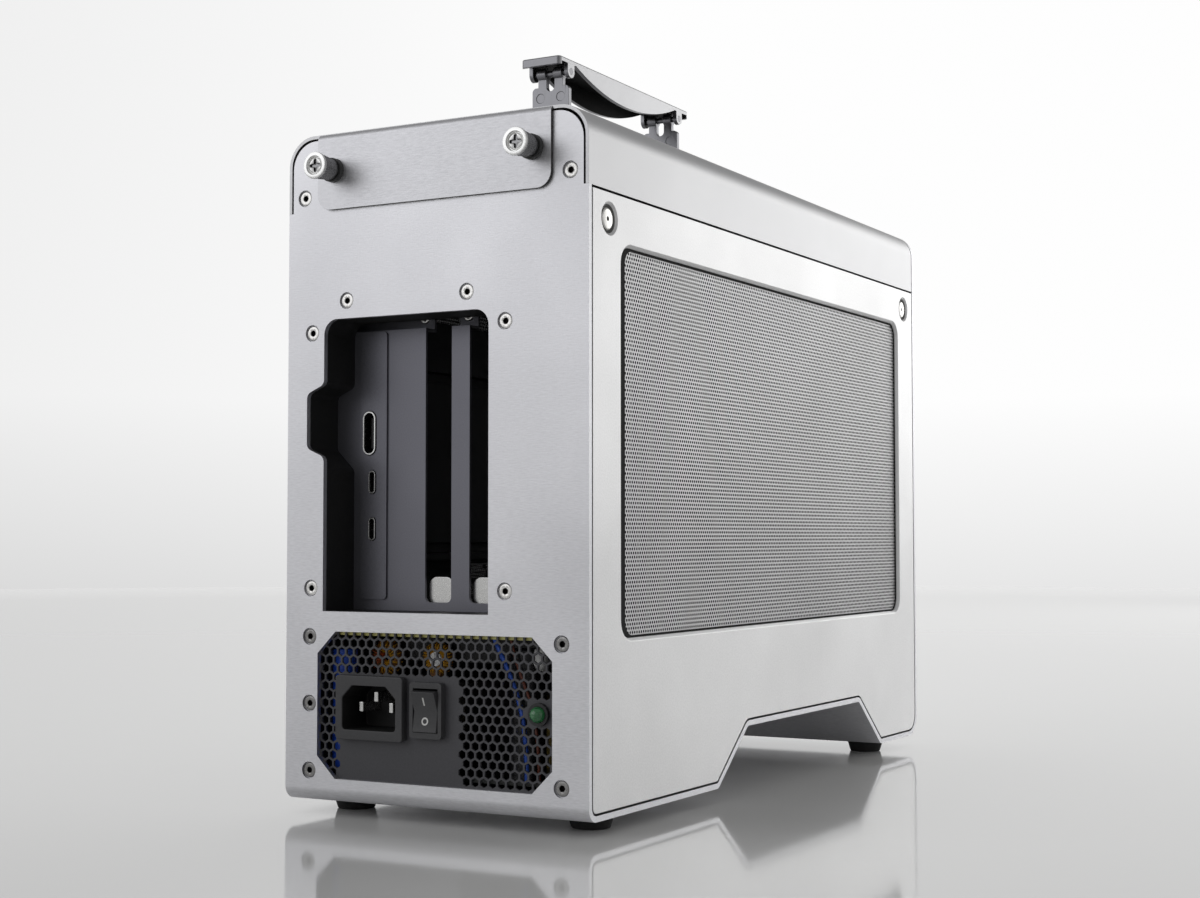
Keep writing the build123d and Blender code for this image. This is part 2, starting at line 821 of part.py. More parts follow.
# Thumbscrews, the collars that keep them in the cover tab, and their nuts behind the rear panel
tab_face = tab_lift + cover_sheet
knob_start = tab_face + collar_length + fit_gap
for x, name in ((-thumb_x, "left"), (thumb_x, "right")):
    with BuildPart() as thumbscrew:
        with BuildSketch(rear_plane(-knob_start)):
            with Locations((x, thumb_z)):
                Circle(thumb_neck_radius)
        with BuildSketch(rear_plane(thumb_rim - thumb_reach)):
            with Locations((x, thumb_z)):
                Circle(thumb_head_radius)
        loft()
        with BuildSketch(rear_plane(thumb_rim - thumb_reach)):
            with Locations((x, thumb_z)):
                Circle(thumb_head_radius)
        extrude(amount=thumb_rim)
        with BuildSketch(rear_plane(-thumb_reach)):
            with Locations((x, thumb_z)):
                Circle(thumb_dish_radius)
        extrude(amount=-thumb_dish_depth, mode=Mode.SUBTRACT)
        with BuildSketch(rear_plane(thumb_dish_depth - thumb_reach)):
            with Locations((x, thumb_z)):
                Rectangle(2 * thumb_dish_radius, thumb_cross_width)
                Rectangle(thumb_cross_width, 2 * thumb_dish_radius)
        extrude(amount=-thumb_cross_depth, mode=Mode.SUBTRACT)
        with BuildSketch(rear_plane(-knob_start)):
            with Locations((x, thumb_z)):
                Circle(thumb_shank_radius)
        extrude(amount=-(knob_start + strip_sheet + thumb_nut_length))
    save(thumbscrew.part, f"thumbscrew_{name}")

with BuildPart() as thumbscrew_collars:
    with BuildSketch(rear_plane(-tab_face)):
        with Locations(*thumb_points):
            Circle(collar_radius)
    extrude(amount=collar_length)
    with BuildSketch(rear_plane(-tab_face)):
        with Locations(*thumb_points):
            Circle(collar_spigot)
    extrude(amount=-cover_sheet)
    with BuildSketch(rear_plane(0)):
        with Locations(*thumb_points):
            Circle(thumb_shank_radius + run_gap)
    extrude(amount=thumb_reach, mode=Mode.SUBTRACT)
save(thumbscrew_collars.part, "thumbscrew_collars")

with BuildPart() as thumbscrew_nuts:
    with BuildSketch(rear_plane(strip_sheet)):
        with Locations(*thumb_points):
            RegularPolygon(thumb_nut_radius, 6)
        with Locations(*thumb_points):
            Circle(thumb_shank_radius + run_gap, mode=Mode.SUBTRACT)
    extrude(amount=-thumb_nut_length)
save(thumbscrew_nuts.part, "thumbscrew_nuts")

# Feet and the screws up through them
for index, (x, y) in enumerate(foot_points):
    name = ("left" if x < 0 else "right") + ("_rear" if index % 2 == 0 else "_front")
    with BuildPart() as foot:
        with Locations((x, y, 0)):
            Cone(
                foot_bottom_radius,
                foot_top_radius,
                foot_height,
                align=(Align.CENTER, Align.CENTER, Align.MIN),
            )
            Cylinder(
                foot_hole_radius,
                foot_height - foot_web,
                align=(Align.CENTER, Align.CENTER, Align.MIN),
                mode=Mode.SUBTRACT,
            )
            Cylinder(
                foot_screw_radius + thread_gap,
                foot_height,
                align=(Align.CENTER, Align.CENTER, Align.MIN),
                mode=Mode.SUBTRACT,
            )
    save(foot.part, f"foot_{name}")

with BuildPart() as foot_screws:
    with Locations(*[(x, y, foot_height - foot_web) for x, y in foot_points]):
        Cylinder(
            foot_hole_radius - fit_gap, socket_depth, align=(Align.CENTER, Align.CENTER, Align.MAX)
        )
        Cylinder(
            foot_screw_radius,
            foot_web + strip_sheet + socket_depth,
            align=(Align.CENTER, Align.CENTER, Align.MIN),
        )
save(foot_screws.part, "foot_screws")

# Handle grip: flat top plate, bowed side aprons and an ear at each corner for the pins
apron_center = grip_width / 2 - grip_wall / 2
plate_under = grip_top - grip_plate
bow_half = leg_spread - grip_bow_gap
bow_radius = (bow_half**2 + grip_bow_drop**2) / (2 * grip_bow_drop)
with BuildPart() as handle_grip:
    with BuildSketch(Plane.XY.offset(plate_under)):
        with Locations((0, grip_y)):
            RectangleRounded(grip_width, grip_length, grip_corner)
    extrude(amount=grip_plate)
    fillet(handle_grip.edges().group_by(Axis.Z)[-1], radius=grip_edge)
    with BuildSketch(Plane.XY.offset(plate_under)):
        with Locations((0, grip_y)):
            RectangleRounded(grip_width, grip_length, grip_corner)
            Rectangle(grip_width, grip_length - 2 * grip_wall, mode=Mode.SUBTRACT)
    extrude(amount=grip_plate - grip_end_drop)
    for side in (1, -1):
        with BuildSketch(Plane.YZ.offset(side * apron_center)):
            with Locations((grip_y, plate_under - grip_bow_drop + bow_radius)):
                Circle(bow_radius)
            with Locations((grip_y, plate_under)):
                Rectangle(
                    4 * bow_radius,
                    4 * bow_radius,
                    align=(Align.CENTER, Align.MIN),
                    mode=Mode.SUBTRACT,
                )
            for leg_y in leg_places:
                with Locations((leg_y, plate_under)):
                    Rectangle(
                        2 * ear_half, plate_under - pin_height, align=(Align.CENTER, Align.MAX)
                    )
                with Locations((leg_y, pin_height)):
                    Circle(ear_half)
        extrude(amount=grip_wall / 2, both=True)
    with BuildSketch(Plane.YZ):
        with Locations(*[(leg_y, pin_height) for leg_y in leg_places]):
            Circle(pin_radius + thread_gap)
    extrude(amount=grip_width, both=True, mode=Mode.SUBTRACT)
save(handle_grip.part, "handle_grip")

# Handle legs: flat plates with two knuckled prongs above and a wide foot below
for leg_y, name in zip(leg_places, ("rear", "front")):
    with BuildPart() as leg:
        with BuildSketch(rear_plane(leg_y - rear_y)) as leg_face:
            with Locations((0, leg_bottom)):
                Rectangle(leg_width, leg_shoulder - leg_bottom, align=(Align.CENTER, Align.MIN))
            fillet(leg_face.vertices().group_by(Axis.Y)[-1], radius=leg_corner)
            with Locations((0, leg_bottom)):
                Rectangle(2 * leg_foot_half, leg_foot_height, align=(Align.CENTER, Align.MIN))
            with Locations((-prong_center, pin_height), (prong_center, pin_height)):
                Rectangle(prong_width, pin_height - leg_bottom, align=(Align.CENTER, Align.MAX))
            with Locations((0, leg_shoulder)):
                Circle(prong_center - prong_width / 2, mode=Mode.SUBTRACT)
        extrude(amount=leg_sheet / 2, both=True)
        with BuildSketch(rear_plane(leg_y - rear_y - leg_sheet / 2)):
            with Locations(
                (-dimple_center, leg_shoulder - dimple_drop), (dimple_center, leg_shoulder - dimple_drop)
            ):
                Circle(dimple_radius)
        extrude(amount=-dimple_depth, mode=Mode.SUBTRACT)
        for side in (1, -1):
            with BuildSketch(Plane.YZ.offset(side * prong_center)):
                with Locations((leg_y, pin_height)):
                    Circle(knuckle_radius)
            extrude(amount=prong_width / 2, both=True)
        with BuildSketch(Plane.YZ):
            with Locations((leg_y, pin_height)):
                Circle(pin_radius + thread_gap)
        extrude(amount=grip_width, both=True, mode=Mode.SUBTRACT)
    save(leg.part, f"handle_leg_{name}")

with BuildPart() as handle_pins:
    with BuildSketch(Plane.YZ):
        with Locations(*[(leg_y, pin_height) for leg_y in leg_places]):
            Circle(pin_radius)
    extrude(amount=grip_width / 2, both=True)
save(handle_pins.part, "handle_pins")

# Handle well: a tray under the cover with ribs that guide the leg feet
well_end = mouth_length / 2 + well_end_gap
with BuildPart() as handle_well:
    with BuildSketch(Plane.XY.offset(well_floor - well_sheet)):
        with Locations((0, grip_y)):
            Rectangle(2 * (well_half + well_sheet), 2 * (well_end + well_sheet))
    extrude(amount=cover_under - well_floor + well_sheet)
    with BuildSketch(Plane.XY.offset(cover_under)):
        with Locations((0, grip_y)):
            Rectangle(2 * (well_half + well_sheet + well_lip), 2 * (well_end + well_sheet + well_lip))
    extrude(amount=-well_sheet)
    with BuildSketch(Plane.XY.offset(well_floor)):
        with Locations((0, grip_y)):
            Rectangle(2 * well_half, 2 * well_end)
        for leg_y in leg_places:
            for rib_y in (leg_y - leg_sheet / 2 - fit_gap, leg_y + leg_sheet / 2 + fit_gap):
                toward = Align.MAX if rib_y < leg_y else Align.MIN
                for side in (1, -1):
                    inward = Align.MAX if side > 0 else Align.MIN
                    with Locations((side * well_half, rib_y)):
                        Rectangle(rib_reach, rib_width, align=(inward, toward), mode=Mode.SUBTRACT)
    extrude(amount=cover_under - well_floor, mode=Mode.SUBTRACT)
save(handle_well.part, "handle_well")

# Slot frame: the black tunnel behind the slot window, with a lip that takes its screws
frame_left = frame_screw_left - frame_lip / 2
frame_right = frame_screw_right + frame_lip / 2
with BuildPart() as slot_frame:
    with BuildSketch(rear_plane(strip_sheet)):
        with Locations(((frame_left + frame_right) / 2, (slot_bottom + slot_top) / 2)):
            Rectangle(frame_right - frame_left, slot_top - slot_bottom + 2 * tunnel_wall)
    extrude(amount=-tunnel_wall)
    extrude(
        slot_outline(rear_plane(strip_sheet), tunnel_wall, bay_flare),
        amount=strip_sheet - tunnel_depth,
    )
    extrude(
        slot_outline(rear_plane(strip_sheet), 0, bay_flare),
        amount=strip_sheet - tunnel_depth,
        mode=Mode.SUBTRACT,
    )
    with BuildSketch(rear_plane(strip_sheet)):
        with Locations(*frame_screw_points):
            Circle(screw_radius + thread_gap)
    extrude(amount=-tunnel_wall, mode=Mode.SUBTRACT)
save(slot_frame.part, "slot_frame")

# Card frame: slot plate stepped inwards at a ledge, folded below into a shelf with a front flange
plate_left = slot_left - bay_reach - tunnel_wall
plate_right = slot_right + frame_lip
ledge_y = plate_y + ledge_depth
shelf_end = rear_y + front_inner
slot_cut_height = card_slot_top - card_slot_bottom
bracket_screw_points = [(x + bracket_screw_shift, bracket_screw_z) for x in card_slot_points]
with BuildPart() as card_frame:
    with BuildSketch(Plane.YZ.offset(plate_left)):
        with BuildLine():
            Polyline(
                (plate_y, shelf_height),
                (plate_y, ledge_height),
                (ledge_y, ledge_height),
                (ledge_y, slot_plate_top),
                (ledge_y + frame_sheet, slot_plate_top),
                (ledge_y + frame_sheet, ledge_height - frame_sheet),
                (plate_y + frame_sheet, ledge_height - frame_sheet),
                (plate_y + frame_sheet, shelf_height),
                close=True,
            )
        make_face()
    extrude(amount=plate_right - plate_left)
    with BuildSketch(rear_plane(tunnel_depth)):
        with Locations(*[(x, (card_slot_bottom + card_slot_top) / 2) for x in card_slot_points]):
            RectangleRounded(card_slot_width, slot_cut_height, card_slot_corner)
        with Locations((io_x, usb_lower_z - port_cut_below)):
            Rectangle(
                io_width - 2 * io_sheet,
                display_z + port_cut_above - usb_lower_z + port_cut_below,
                align=(Align.CENTER, Align.MIN),
            )
        with Locations(*bar_screw_points):
            Circle(screw_radius + thread_gap)
        with Locations(*bracket_screw_points):
            Circle(bracket_screw_radius + thread_gap)
    extrude(amount=-(ledge_depth + frame_sheet), mode=Mode.SUBTRACT)
    with BuildSketch(Plane.XY.offset(shelf_height)):
        with Locations((0, plate_y)):
            Rectangle(2 * shelf_half, shelf_end - plate_y, align=(Align.CENTER, Align.MIN))
        with Locations((header_x, rear_y + shelf_cut_y)):
            Rectangle(
                shelf_cut_width,
                shelf_cut_length,
                align=(Align.CENTER, Align.MIN),
                mode=Mode.SUBTRACT,
            )
    extrude(amount=frame_sheet)
    with BuildSketch(rear_plane(front_inner)):
        with Locations((0, shelf_top)):
            Rectangle(2 * shelf_half, frame_flange, align=(Align.CENTER, Align.MAX))
    extrude(amount=frame_sheet)
save(card_frame.part, "card_frame")

# Slot guides: bright tabs that catch the tip of a card's bracket behind each slot
with BuildPart() as slot_guides:
    with BuildSketch(rear_plane(tunnel_depth + frame_sheet + guide_gap)) as guide_faces:
        with Locations(*[(x, shelf_top) for x in card_slot_points]):
            Rectangle(guide_width, guide_height, align=(Align.CENTER, Align.MIN))
        fillet(guide_faces.vertices().group_by(Axis.Y)[-1], radius=guide_corner)
    extrude(amount=-guide_sheet)
save(slot_guides.part, "slot_guides")

with BuildPart() as bracket_screws:
    with Locations(*[Location((x, ledge_y, z), (90, 0, 0)) for x, z in bracket_screw_points]):
        Cylinder(
            bracket_head_radius, socket_depth, align=(Align.CENTER, Align.CENTER, Align.MIN)
        )
        Cylinder(
            bracket_screw_radius, screw_length, align=(Align.CENTER, Align.CENTER, Align.MAX)
        )
save(bracket_screws.part, "bracket_screws")

# Interface card: bracket, board, sockets and heat sink
usb_shell = (usb_thick, usb_long, usb_depth, usb_wall, usb_tongue)
display_shell = (display_thick, display_long, display_depth, display_wall, display_tongue)
ports = {
    "display_socket": (io_x + display_shift, display_z, *display_shell),
    "usb_socket_upper": (io_x + usb_shift, usb_upper_z, *usb_shell),
    "usb_socket_lower": (io_x + usb_shift, usb_lower_z, *usb_shell),
}
bracket_face = tunnel_depth - io_sheet
with BuildPart() as io_bracket:
    with BuildSketch(rear_plane(tunnel_depth)):
        with Locations((io_x, (io_bottom + io_top) / 2)):
            RectangleRounded(io_width, io_top - io_bottom, io_corner)
        for x, z, thick, long, *rest in ports.values():
            with Locations((x, z)):
                SlotOverall(long + 2 * fit_gap, thick + 2 * fit_gap, rotation=90, mode=Mode.SUBTRACT)
    extrude(amount=io_sheet)
save(io_bracket.part, "io_bracket")

board_rear = plate_y + frame_sheet + fit_gap
with BuildPart() as interface_board:
    with BuildSketch(Plane.YZ.offset(io_board_x)):
        with Locations((board_rear, io_board_bottom)):
            Rectangle(
                io_board_depth, io_board_top - io_board_bottom, align=(Align.MIN, Align.MIN)
            )
        with Locations((board_rear, board_floor + board_sheet)):
            Rectangle(
                io_board_depth / 2,
                io_board_bottom - board_floor - board_sheet,
                align=(Align.MIN, Align.MIN),
            )
        with Locations((board_rear, ledge_height - frame_sheet - fit_gap)):
            Rectangle(ledge_depth, slot_height, align=(Align.MIN, Align.MIN), mode=Mode.SUBTRACT)
    extrude(amount=board_sheet)
save(interface_board.part, "interface_board")

for name, (x, z, thick, long, depth, wall, tongue) in ports.items():
    with BuildPart() as socket:
        with BuildSketch(rear_plane(bracket_face - port_reach)):
            with Locations((x, z)):
                SlotOverall(long, thick, rotation=90)
                SlotOverall(long - 2 * wall, thick - 2 * wall, rotation=90, mode=Mode.SUBTRACT)
        extrude(amount=-depth)
        with BuildSketch(rear_plane(bracket_face - port_reach + depth)):
            with Locations((x, z)):
                SlotOverall(long, thick, rotation=90)
        extrude(amount=wall)
        with BuildSketch(rear_plane(bracket_face - port_reach + depth)):
            with Locations((x, z)):
                Rectangle(tongue[0], tongue[1])
        extrude(amount=tongue[2])
        with BuildSketch(rear_plane(tunnel_depth + frame_sheet + 2 * fit_gap)):
            with Locations((x, z)):
                Rectangle(io_board_x - x, long / 2, align=(Align.MIN, Align.CENTER))
                SlotOverall(long - wall, thick - wall, rotation=90, mode=Mode.SUBTRACT)
        extrude(amount=-(depth - port_reach - io_sheet - frame_sheet - 2 * fit_gap))
    save(socket.part, name)

# Heat spreader: a plate over the board, with two grooves along it
spreader_bottom = io_board_bottom + spreader_inset
spreader_top = io_board_top - spreader_inset
spreader_rear = board_rear + ledge_depth + spreader_inset
spreader_length = io_board_depth - ledge_depth - 2 * spreader_inset
with BuildPart() as controller_heatsink:
    with BuildSketch(Plane.YZ.offset(io_board_x + board_sheet)):
        with Locations((spreader_rear, spreader_bottom)):
            Rectangle(
                spreader_length, spreader_top - spreader_bottom, align=(Align.MIN, Align.MIN)
            )
    extrude(amount=spreader_reach)
    with BuildSketch(Plane.YZ.offset(io_board_x + board_sheet + spreader_reach)):
        for groove_z in (spreader_bottom + groove_low, spreader_top - groove_high):
            with Locations((spreader_rear, groove_z)):
                Rectangle(spreader_length, groove_height, align=(Align.MIN, Align.CENTER))
    extrude(amount=-groove_depth, mode=Mode.SUBTRACT)
save(controller_heatsink.part, "controller_heatsink")

# Backplane on standoffs, with the card connector and the power header
backplane_rear = rear_y + tunnel_depth + backplane_setback
with BuildPart() as backplane_board:
    with BuildSketch(Plane.XY.offset(board_floor)):
        with Locations((io_board_x - board_sheet, backplane_rear)):
            Rectangle(
                backplane_right - io_board_x + board_sheet,
                backplane_length,
                align=(Align.MIN, Align.MIN),
            )
        with Locations((header_x, rear_y + shelf_cut_y)):
            Rectangle(
                shelf_cut_width,
                shelf_cut_length,
                align=(Align.CENTER, Align.MIN),
                mode=Mode.SUBTRACT,
            )
    extrude(amount=board_sheet)
save(backplane_board.part, "backplane_board")

standoff_inset = 2 * standoff_radius
standoff_points = [
    (x, y)
    for x in (io_board_x + standoff_inset, backplane_right - standoff_inset)
    for y in (backplane_rear + standoff_inset, backplane_rear + backplane_length - standoff_inset)
]
with BuildPart() as backplane_standoffs:
    with BuildSketch(Plane.XY.offset(shelf_top)):
        with Locations(*standoff_points):
            RegularPolygon(standoff_radius, 6)
    extrude(amount=standoff_height)
save(backplane_standoffs.part, "backplane_standoffs")

with BuildPart() as card_connector:
    with BuildSketch(Plane.XY.offset(board_floor + board_sheet)):
        with Locations((first_slot_x, plate_y + connector_start)):
            Rectangle(connector_width, connector_length, align=(Align.CENTER, Align.MIN))
    extrude(amount=connector_height)
    with BuildSketch(Plane.XY.offset(board_floor + board_sheet + connector_height)):
        with Locations((first_slot_x, plate_y + connector_start + connector_slit)):
            Rectangle(
                connector_slit,
                connector_length - 2 * connector_slit,
                align=(Align.CENTER, Align.MIN),
            )
    extrude(amount=-connector_slit_depth, mode=Mode.SUBTRACT)
save(card_connector.part, "card_connector")

header_rear = rear_y + shelf_cut_y + shelf_cut_length + header_gap
with BuildPart() as power_header:
    with Locations((header_x, header_rear, board_floor + board_sheet)):
        Box(*header_size, align=(Align.CENTER, Align.MIN, Align.MIN))
save(power_header.part, "power_header")

# Power supply case: floor, rear wall with its honeycomb vent, and front wall, folded from one sheet
psu_half = psu_width / 2
harness_z = psu_center_z - harness_drop
case_half = psu_half - psu_sheet - thread_gap
wall_top = psu_top - psu_sheet - thread_gap
board_z = psu_bottom + psu_sheet + psu_board_gap
board_half_x = case_half - psu_board_edge
vent_row = hex_pitch * 3**0.5 / 2
inlet_body = recess_depth - inlet_flange + inlet_floor
switch_body_width = rocker_width + 2 * (rocker_side_gap + switch_wall)
switch_body_height = rocker_height + 2 * (rocker_end_gap + switch_wall)
solid_right = switch_x + switch_width / 2 + vent_clear
solid_areas = [
    (inlet_x - inlet_width / 2, solid_right, psu_window_bottom, inlet_z + inlet_height / 2),
    (lamp_x - lamp_bezel, psu_window_half, lamp_z - lamp_bezel, lamp_z + lamp_bezel),
]
vent_points = []
reach = hex_across / 2
screw_clear = reach + screw_radius + vent_margin
rows = int((psu_window_top - psu_window_bottom - vent_drop) / vent_row) + 1
columns = int(2 * psu_window_half / hex_pitch) + 1
corner_limit = psu_window_half + (psu_window_top - psu_window_bottom) / 2 - psu_window_chamfer
for row in range(rows):
    for column in range(columns):
        x = -psu_window_half + vent_side + (column + 0.5 * ((row + 1) % 2)) * hex_pitch
        z = psu_window_top - vent_drop - row * vent_row
        corner_sum = abs(x) + abs(z - (psu_window_top + psu_window_bottom) / 2)
        in_window = (
            abs(x) < psu_window_half + vent_side
            and z > psu_window_bottom + vent_drop
            and corner_sum < corner_limit + reach
        )
        blocked = any(
            left - reach < x < right + reach and low - reach < z < high + reach
            for left, right, low, high in solid_areas
        )
        near_screw = any(
            (x - screw_x) ** 2 + (z - screw_z) ** 2 < screw_clear**2
            for screw_x, screw_z in psu_screw_points
        )
        if in_window and not blocked and not near_screw:
            vent_points.append((x, z))
psu_posts = [
    (side * (board_half_x - psu_board_edge), rear_y + y)
    for side in (1, -1)
    for y in (psu_face + psu_post_inset, psu_face + psu_length - psu_post_inset)
]
with BuildPart() as psu_case:
    with BuildSketch(Plane.YZ):
        with Locations((rear_y + psu_face, psu_bottom)):
            Rectangle(psu_length, wall_top - psu_bottom, align=(Align.MIN, Align.MIN))
        with Locations((rear_y + psu_face + psu_sheet, psu_bottom + psu_sheet)):
            Rectangle(
                psu_length - 2 * psu_sheet,
                psu_height,
                align=(Align.MIN, Align.MIN),
                mode=Mode.SUBTRACT,
            )
    extrude(amount=case_half, both=True)
    with BuildSketch(Plane.XY.offset(psu_bottom + psu_sheet)):
        with Locations(*psu_posts):
            Circle(psu_post_radius)
    extrude(amount=psu_board_gap)
    with BuildSketch(rear_plane(psu_face)):
        with Locations(*psu_screw_points):
            Circle(screw_radius + thread_gap)
        with Locations((inlet_x, inlet_z)):
            Rectangle(recess_width + 2 * inlet_wall, recess_height + 2 * inlet_wall)
        with Locations((switch_x, switch_z)):
            Rectangle(switch_body_width, switch_body_height)
        with Locations((lamp_x, lamp_z)):
            Circle(lamp_radius)
        with Locations(*vent_points):
            RegularPolygon(hex_across / 2, 6, major_radius=False, rotation=30)
    extrude(amount=-psu_sheet, mode=Mode.SUBTRACT)
    with BuildSketch(rear_plane(psu_face + psu_length)):
        with Locations((header_x, harness_z)):
            Circle(harness_radius + thread_gap)
    extrude(amount=psu_sheet, mode=Mode.SUBTRACT)
save(psu_case.part, "psu_case")

with BuildPart() as psu_lid:
    with BuildSketch(rear_plane(psu_face)):
        with Locations((0, psu_bottom)):
            Rectangle(psu_width, psu_height, align=(Align.CENTER, Align.MIN))
            Rectangle(
                psu_width - 2 * psu_sheet,
                psu_height - psu_sheet,
                align=(Align.CENTER, Align.MIN),
                mode=Mode.SUBTRACT,
            )
    extrude(amount=-psu_length)
    with BuildSketch(Plane.XY.offset(psu_top)):
        with Locations((0, rear_y + psu_fan_y)):
            Circle(psu_fan_size / 2 - fan_rim)
    extrude(amount=-psu_sheet, mode=Mode.SUBTRACT)
save(psu_lid.part, "psu_lid")

# Mains inlet with its three blades
with BuildPart() as power_inlet:
    with BuildSketch(rear_plane(psu_face - inlet_flange)):
        with Locations((inlet_x, inlet_z)):
            RectangleRounded(inlet_width, inlet_height, inlet_wall)
    extrude(amount=-inlet_flange)
    with BuildSketch(rear_plane(psu_face)):
        with Locations((inlet_x, inlet_z)):
            Rectangle(recess_width + 2 * inlet_wall, recess_height + 2 * inlet_wall)
    extrude(amount=-inlet_body)
    with BuildSketch(rear_plane(psu_face - inlet_flange)) as recess:
        with Locations((inlet_x, inlet_z)):
            Rectangle(recess_width, recess_height)
        chamfer(recess.vertices().group_by(Axis.Y)[-1], length=recess_chamfer)
        fillet(recess.vertices().group_by(Axis.Y)[0], radius=inlet_wall)
    extrude(amount=-recess_depth, mode=Mode.SUBTRACT)
    blade_points = [
        (inlet_x - blade_spread, inlet_z),
        (inlet_x, inlet_z + blade_rise),
        (inlet_x + blade_spread, inlet_z),
    ]
    with BuildSketch(rear_plane(psu_face + inlet_body)):
        with Locations(*blade_points):
            Rectangle(blade_width + 2 * thread_gap, blade_height + 2 * thread_gap)
    extrude(amount=inlet_floor, mode=Mode.SUBTRACT)
save(power_inlet.part, "power_inlet")

with BuildPart() as inlet_blades:
    with BuildSketch(rear_plane(psu_face + inlet_body - inlet_floor)):
        with Locations(*blade_points):
            Rectangle(blade_width, blade_height)
    extrude(amount=blade_length)
    with BuildSketch(rear_plane(psu_face + inlet_body - inlet_floor)):
        with Locations(*blade_points):
            Rectangle(blade_width, blade_height)
    extrude(amount=-(inlet_floor + blade_tail))
save(inlet_blades.part, "inlet_blades")

# Rocker switch, resting off with its upper half standing out
switch_face = psu_face - switch_flange
pivot_y = rear_y + switch_face + pivot_setback + rocker_proud
with BuildPart() as switch_housing:
    with BuildSketch(rear_plane(switch_face)):
        with Locations((switch_x, switch_z)):
            RectangleRounded(switch_width, switch_height, switch_wall)
    extrude(amount=-switch_flange)
    with BuildSketch(rear_plane(psu_face)):
        with Locations((switch_x, switch_z)):
            Rectangle(switch_body_width, switch_body_height)
    extrude(amount=-switch_depth)
    with BuildSketch(rear_plane(switch_face)):
        with Locations((switch_x, switch_z)):
            Rectangle(rocker_width + 2 * rocker_side_gap, rocker_height + 2 * rocker_end_gap)
    extrude(amount=-(switch_flange + switch_depth - switch_wall), mode=Mode.SUBTRACT)
    with BuildSketch(Plane.YZ.offset(switch_x)):
        with Locations((pivot_y, switch_z)):
            Circle(pivot_radius + run_gap)
    extrude(
        amount=rocker_width / 2 + rocker_side_gap + pivot_reach + run_gap,
        both=True,
        mode=Mode.SUBTRACT,
    )
save(switch_housing.part, "switch_housing")

rocker_rise = pivot_setback + 2 * rocker_proud
with BuildPart() as switch_rocker:
    with BuildSketch(Plane.YZ.offset(switch_x)):
        with Locations((pivot_y, switch_z)):
            Polygon(
                (-rocker_rise, rocker_height / 2),
                (rocker_dip - rocker_rise + rocker_proud, 0),
                (-rocker_rise, -rocker_height / 2),
                (0, -rocker_height / 2),
                (rocker_depth - rocker_rise, -rocker_root),
                (rocker_depth - rocker_rise, rocker_root),
                (0, rocker_height / 2),
                rotation=rocker_swing / 2,
                align=None,
            )
    extrude(amount=rocker_width / 2, both=True)
    with BuildSketch(Plane.YZ.offset(switch_x)):
        with Locations((pivot_y, switch_z)):
            Circle(pivot_radius)
    extrude(amount=rocker_width / 2 + rocker_side_gap + pivot_reach, both=True)
save(switch_rocker.part, "switch_rocker")

# Status lamp and its bezel
with BuildPart() as lamp_bezel_ring:
    with BuildSketch(rear_plane(psu_face)):
        with Locations((lamp_x, lamp_z)):
            Circle(lamp_bezel)
            Circle(lamp_radius + thread_gap, mode=Mode.SUBTRACT)
    extrude(amount=lamp_bezel_depth)
save(lamp_bezel_ring.part, "lamp_bezel")

with BuildPart() as status_lamp:
    with Locations((lamp_x, rear_y + psu_face - lamp_bezel_depth, lamp_z)):
        Sphere(lamp_radius - thread_gap)
    with BuildSketch(rear_plane(psu_face - lamp_bezel_depth)):
        with Locations((lamp_x, lamp_z)):
            Circle(lamp_radius - thread_gap)
    extrude(amount=-(lamp_bezel_depth + lamp_tail))
save(status_lamp.part, "status_lamp")

# Power supply internals
with BuildPart() as psu_board:
    with BuildSketch(Plane.XY.offset(board_z)):
        with Locations((0, rear_y + psu_face + psu_board_edge / 2)):
            Rectangle(
                2 * board_half_x, psu_length - psu_board_edge, align=(Align.CENTER, Align.MIN)
            )
    extrude(amount=board_sheet)
save(psu_board.part, "psu_board")

parts_floor = board_z + board_sheet
coil_y = rear_y + psu_face + inlet_body + blade_tail + coil_setback
coil_z = parts_floor + coil_rise
with BuildPart() as psu_coils:
    for x, ring_radius, wire_bulk in coils:
        with Locations(Location((x, coil_y, coil_z), (90, 0, 0))):
            Torus(ring_radius, wire_bulk)
        with Locations((x, coil_y, parts_floor)):
            Box(
                *coil_post,
                coil_z - ring_radius - parts_floor,
                align=(Align.CENTER, Align.CENTER, Align.MIN),
            )
save(psu_coils.part, "psu_coils")

with BuildPart() as psu_capacitors:
    for x, y, radius, height in capacitors:
        with Locations((x, rear_y + y, parts_floor)):
            Cylinder(radius, height, align=(Align.CENTER, Align.CENTER, Align.MIN))
save(psu_capacitors.part, "psu_capacitors")

with BuildPart() as psu_transformer:
    with Locations((transformer_place[0], rear_y + transformer_place[1], parts_floor)):
        Box(*transformer_size, align=(Align.CENTER, Align.CENTER, Align.MIN))
save(psu_transformer.part, "psu_transformer")

with BuildPart() as psu_heatsinks:
    for x in sink_xs:
        with Locations((x, rear_y + sink_y, parts_floor)):
            Box(*sink_size, align=(Align.CENTER, Align.CENTER, Align.MIN))
save(psu_heatsinks.part, "psu_heatsinks")

save(fan_frame(psu_fan_plane, psu_fan_size, psu_fan_depth), "psu_fan_frame")
save(fan_rotor(psu_fan_plane, psu_fan_size, psu_fan_depth), "psu_fan_rotor")

# Output harness from the power supply up through the shelf to the rear face of the header
harness_y = rear_y + shelf_cut_y + shelf_cut_length / 2
harness_start = rear_y + psu_face + psu_length - psu_sheet
header_mid_z = board_floor + board_sheet + header_size[2] / 2
with BuildPart() as output_harness:
    with BuildLine() as harness_path:
        FilletPolyline(
            (header_x, harness_start, harness_z),
            (header_x, harness_y, harness_z),
            (header_x, harness_y, header_mid_z),
            (header_x, header_rear, header_mid_z),
            radius=harness_bend,
        )
    with BuildSketch(rear_plane(harness_start - rear_y)):
        with Locations((header_x, harness_z)):
            Circle(harness_radius)
    sweep()
save(output_harness.part, "output_harness")

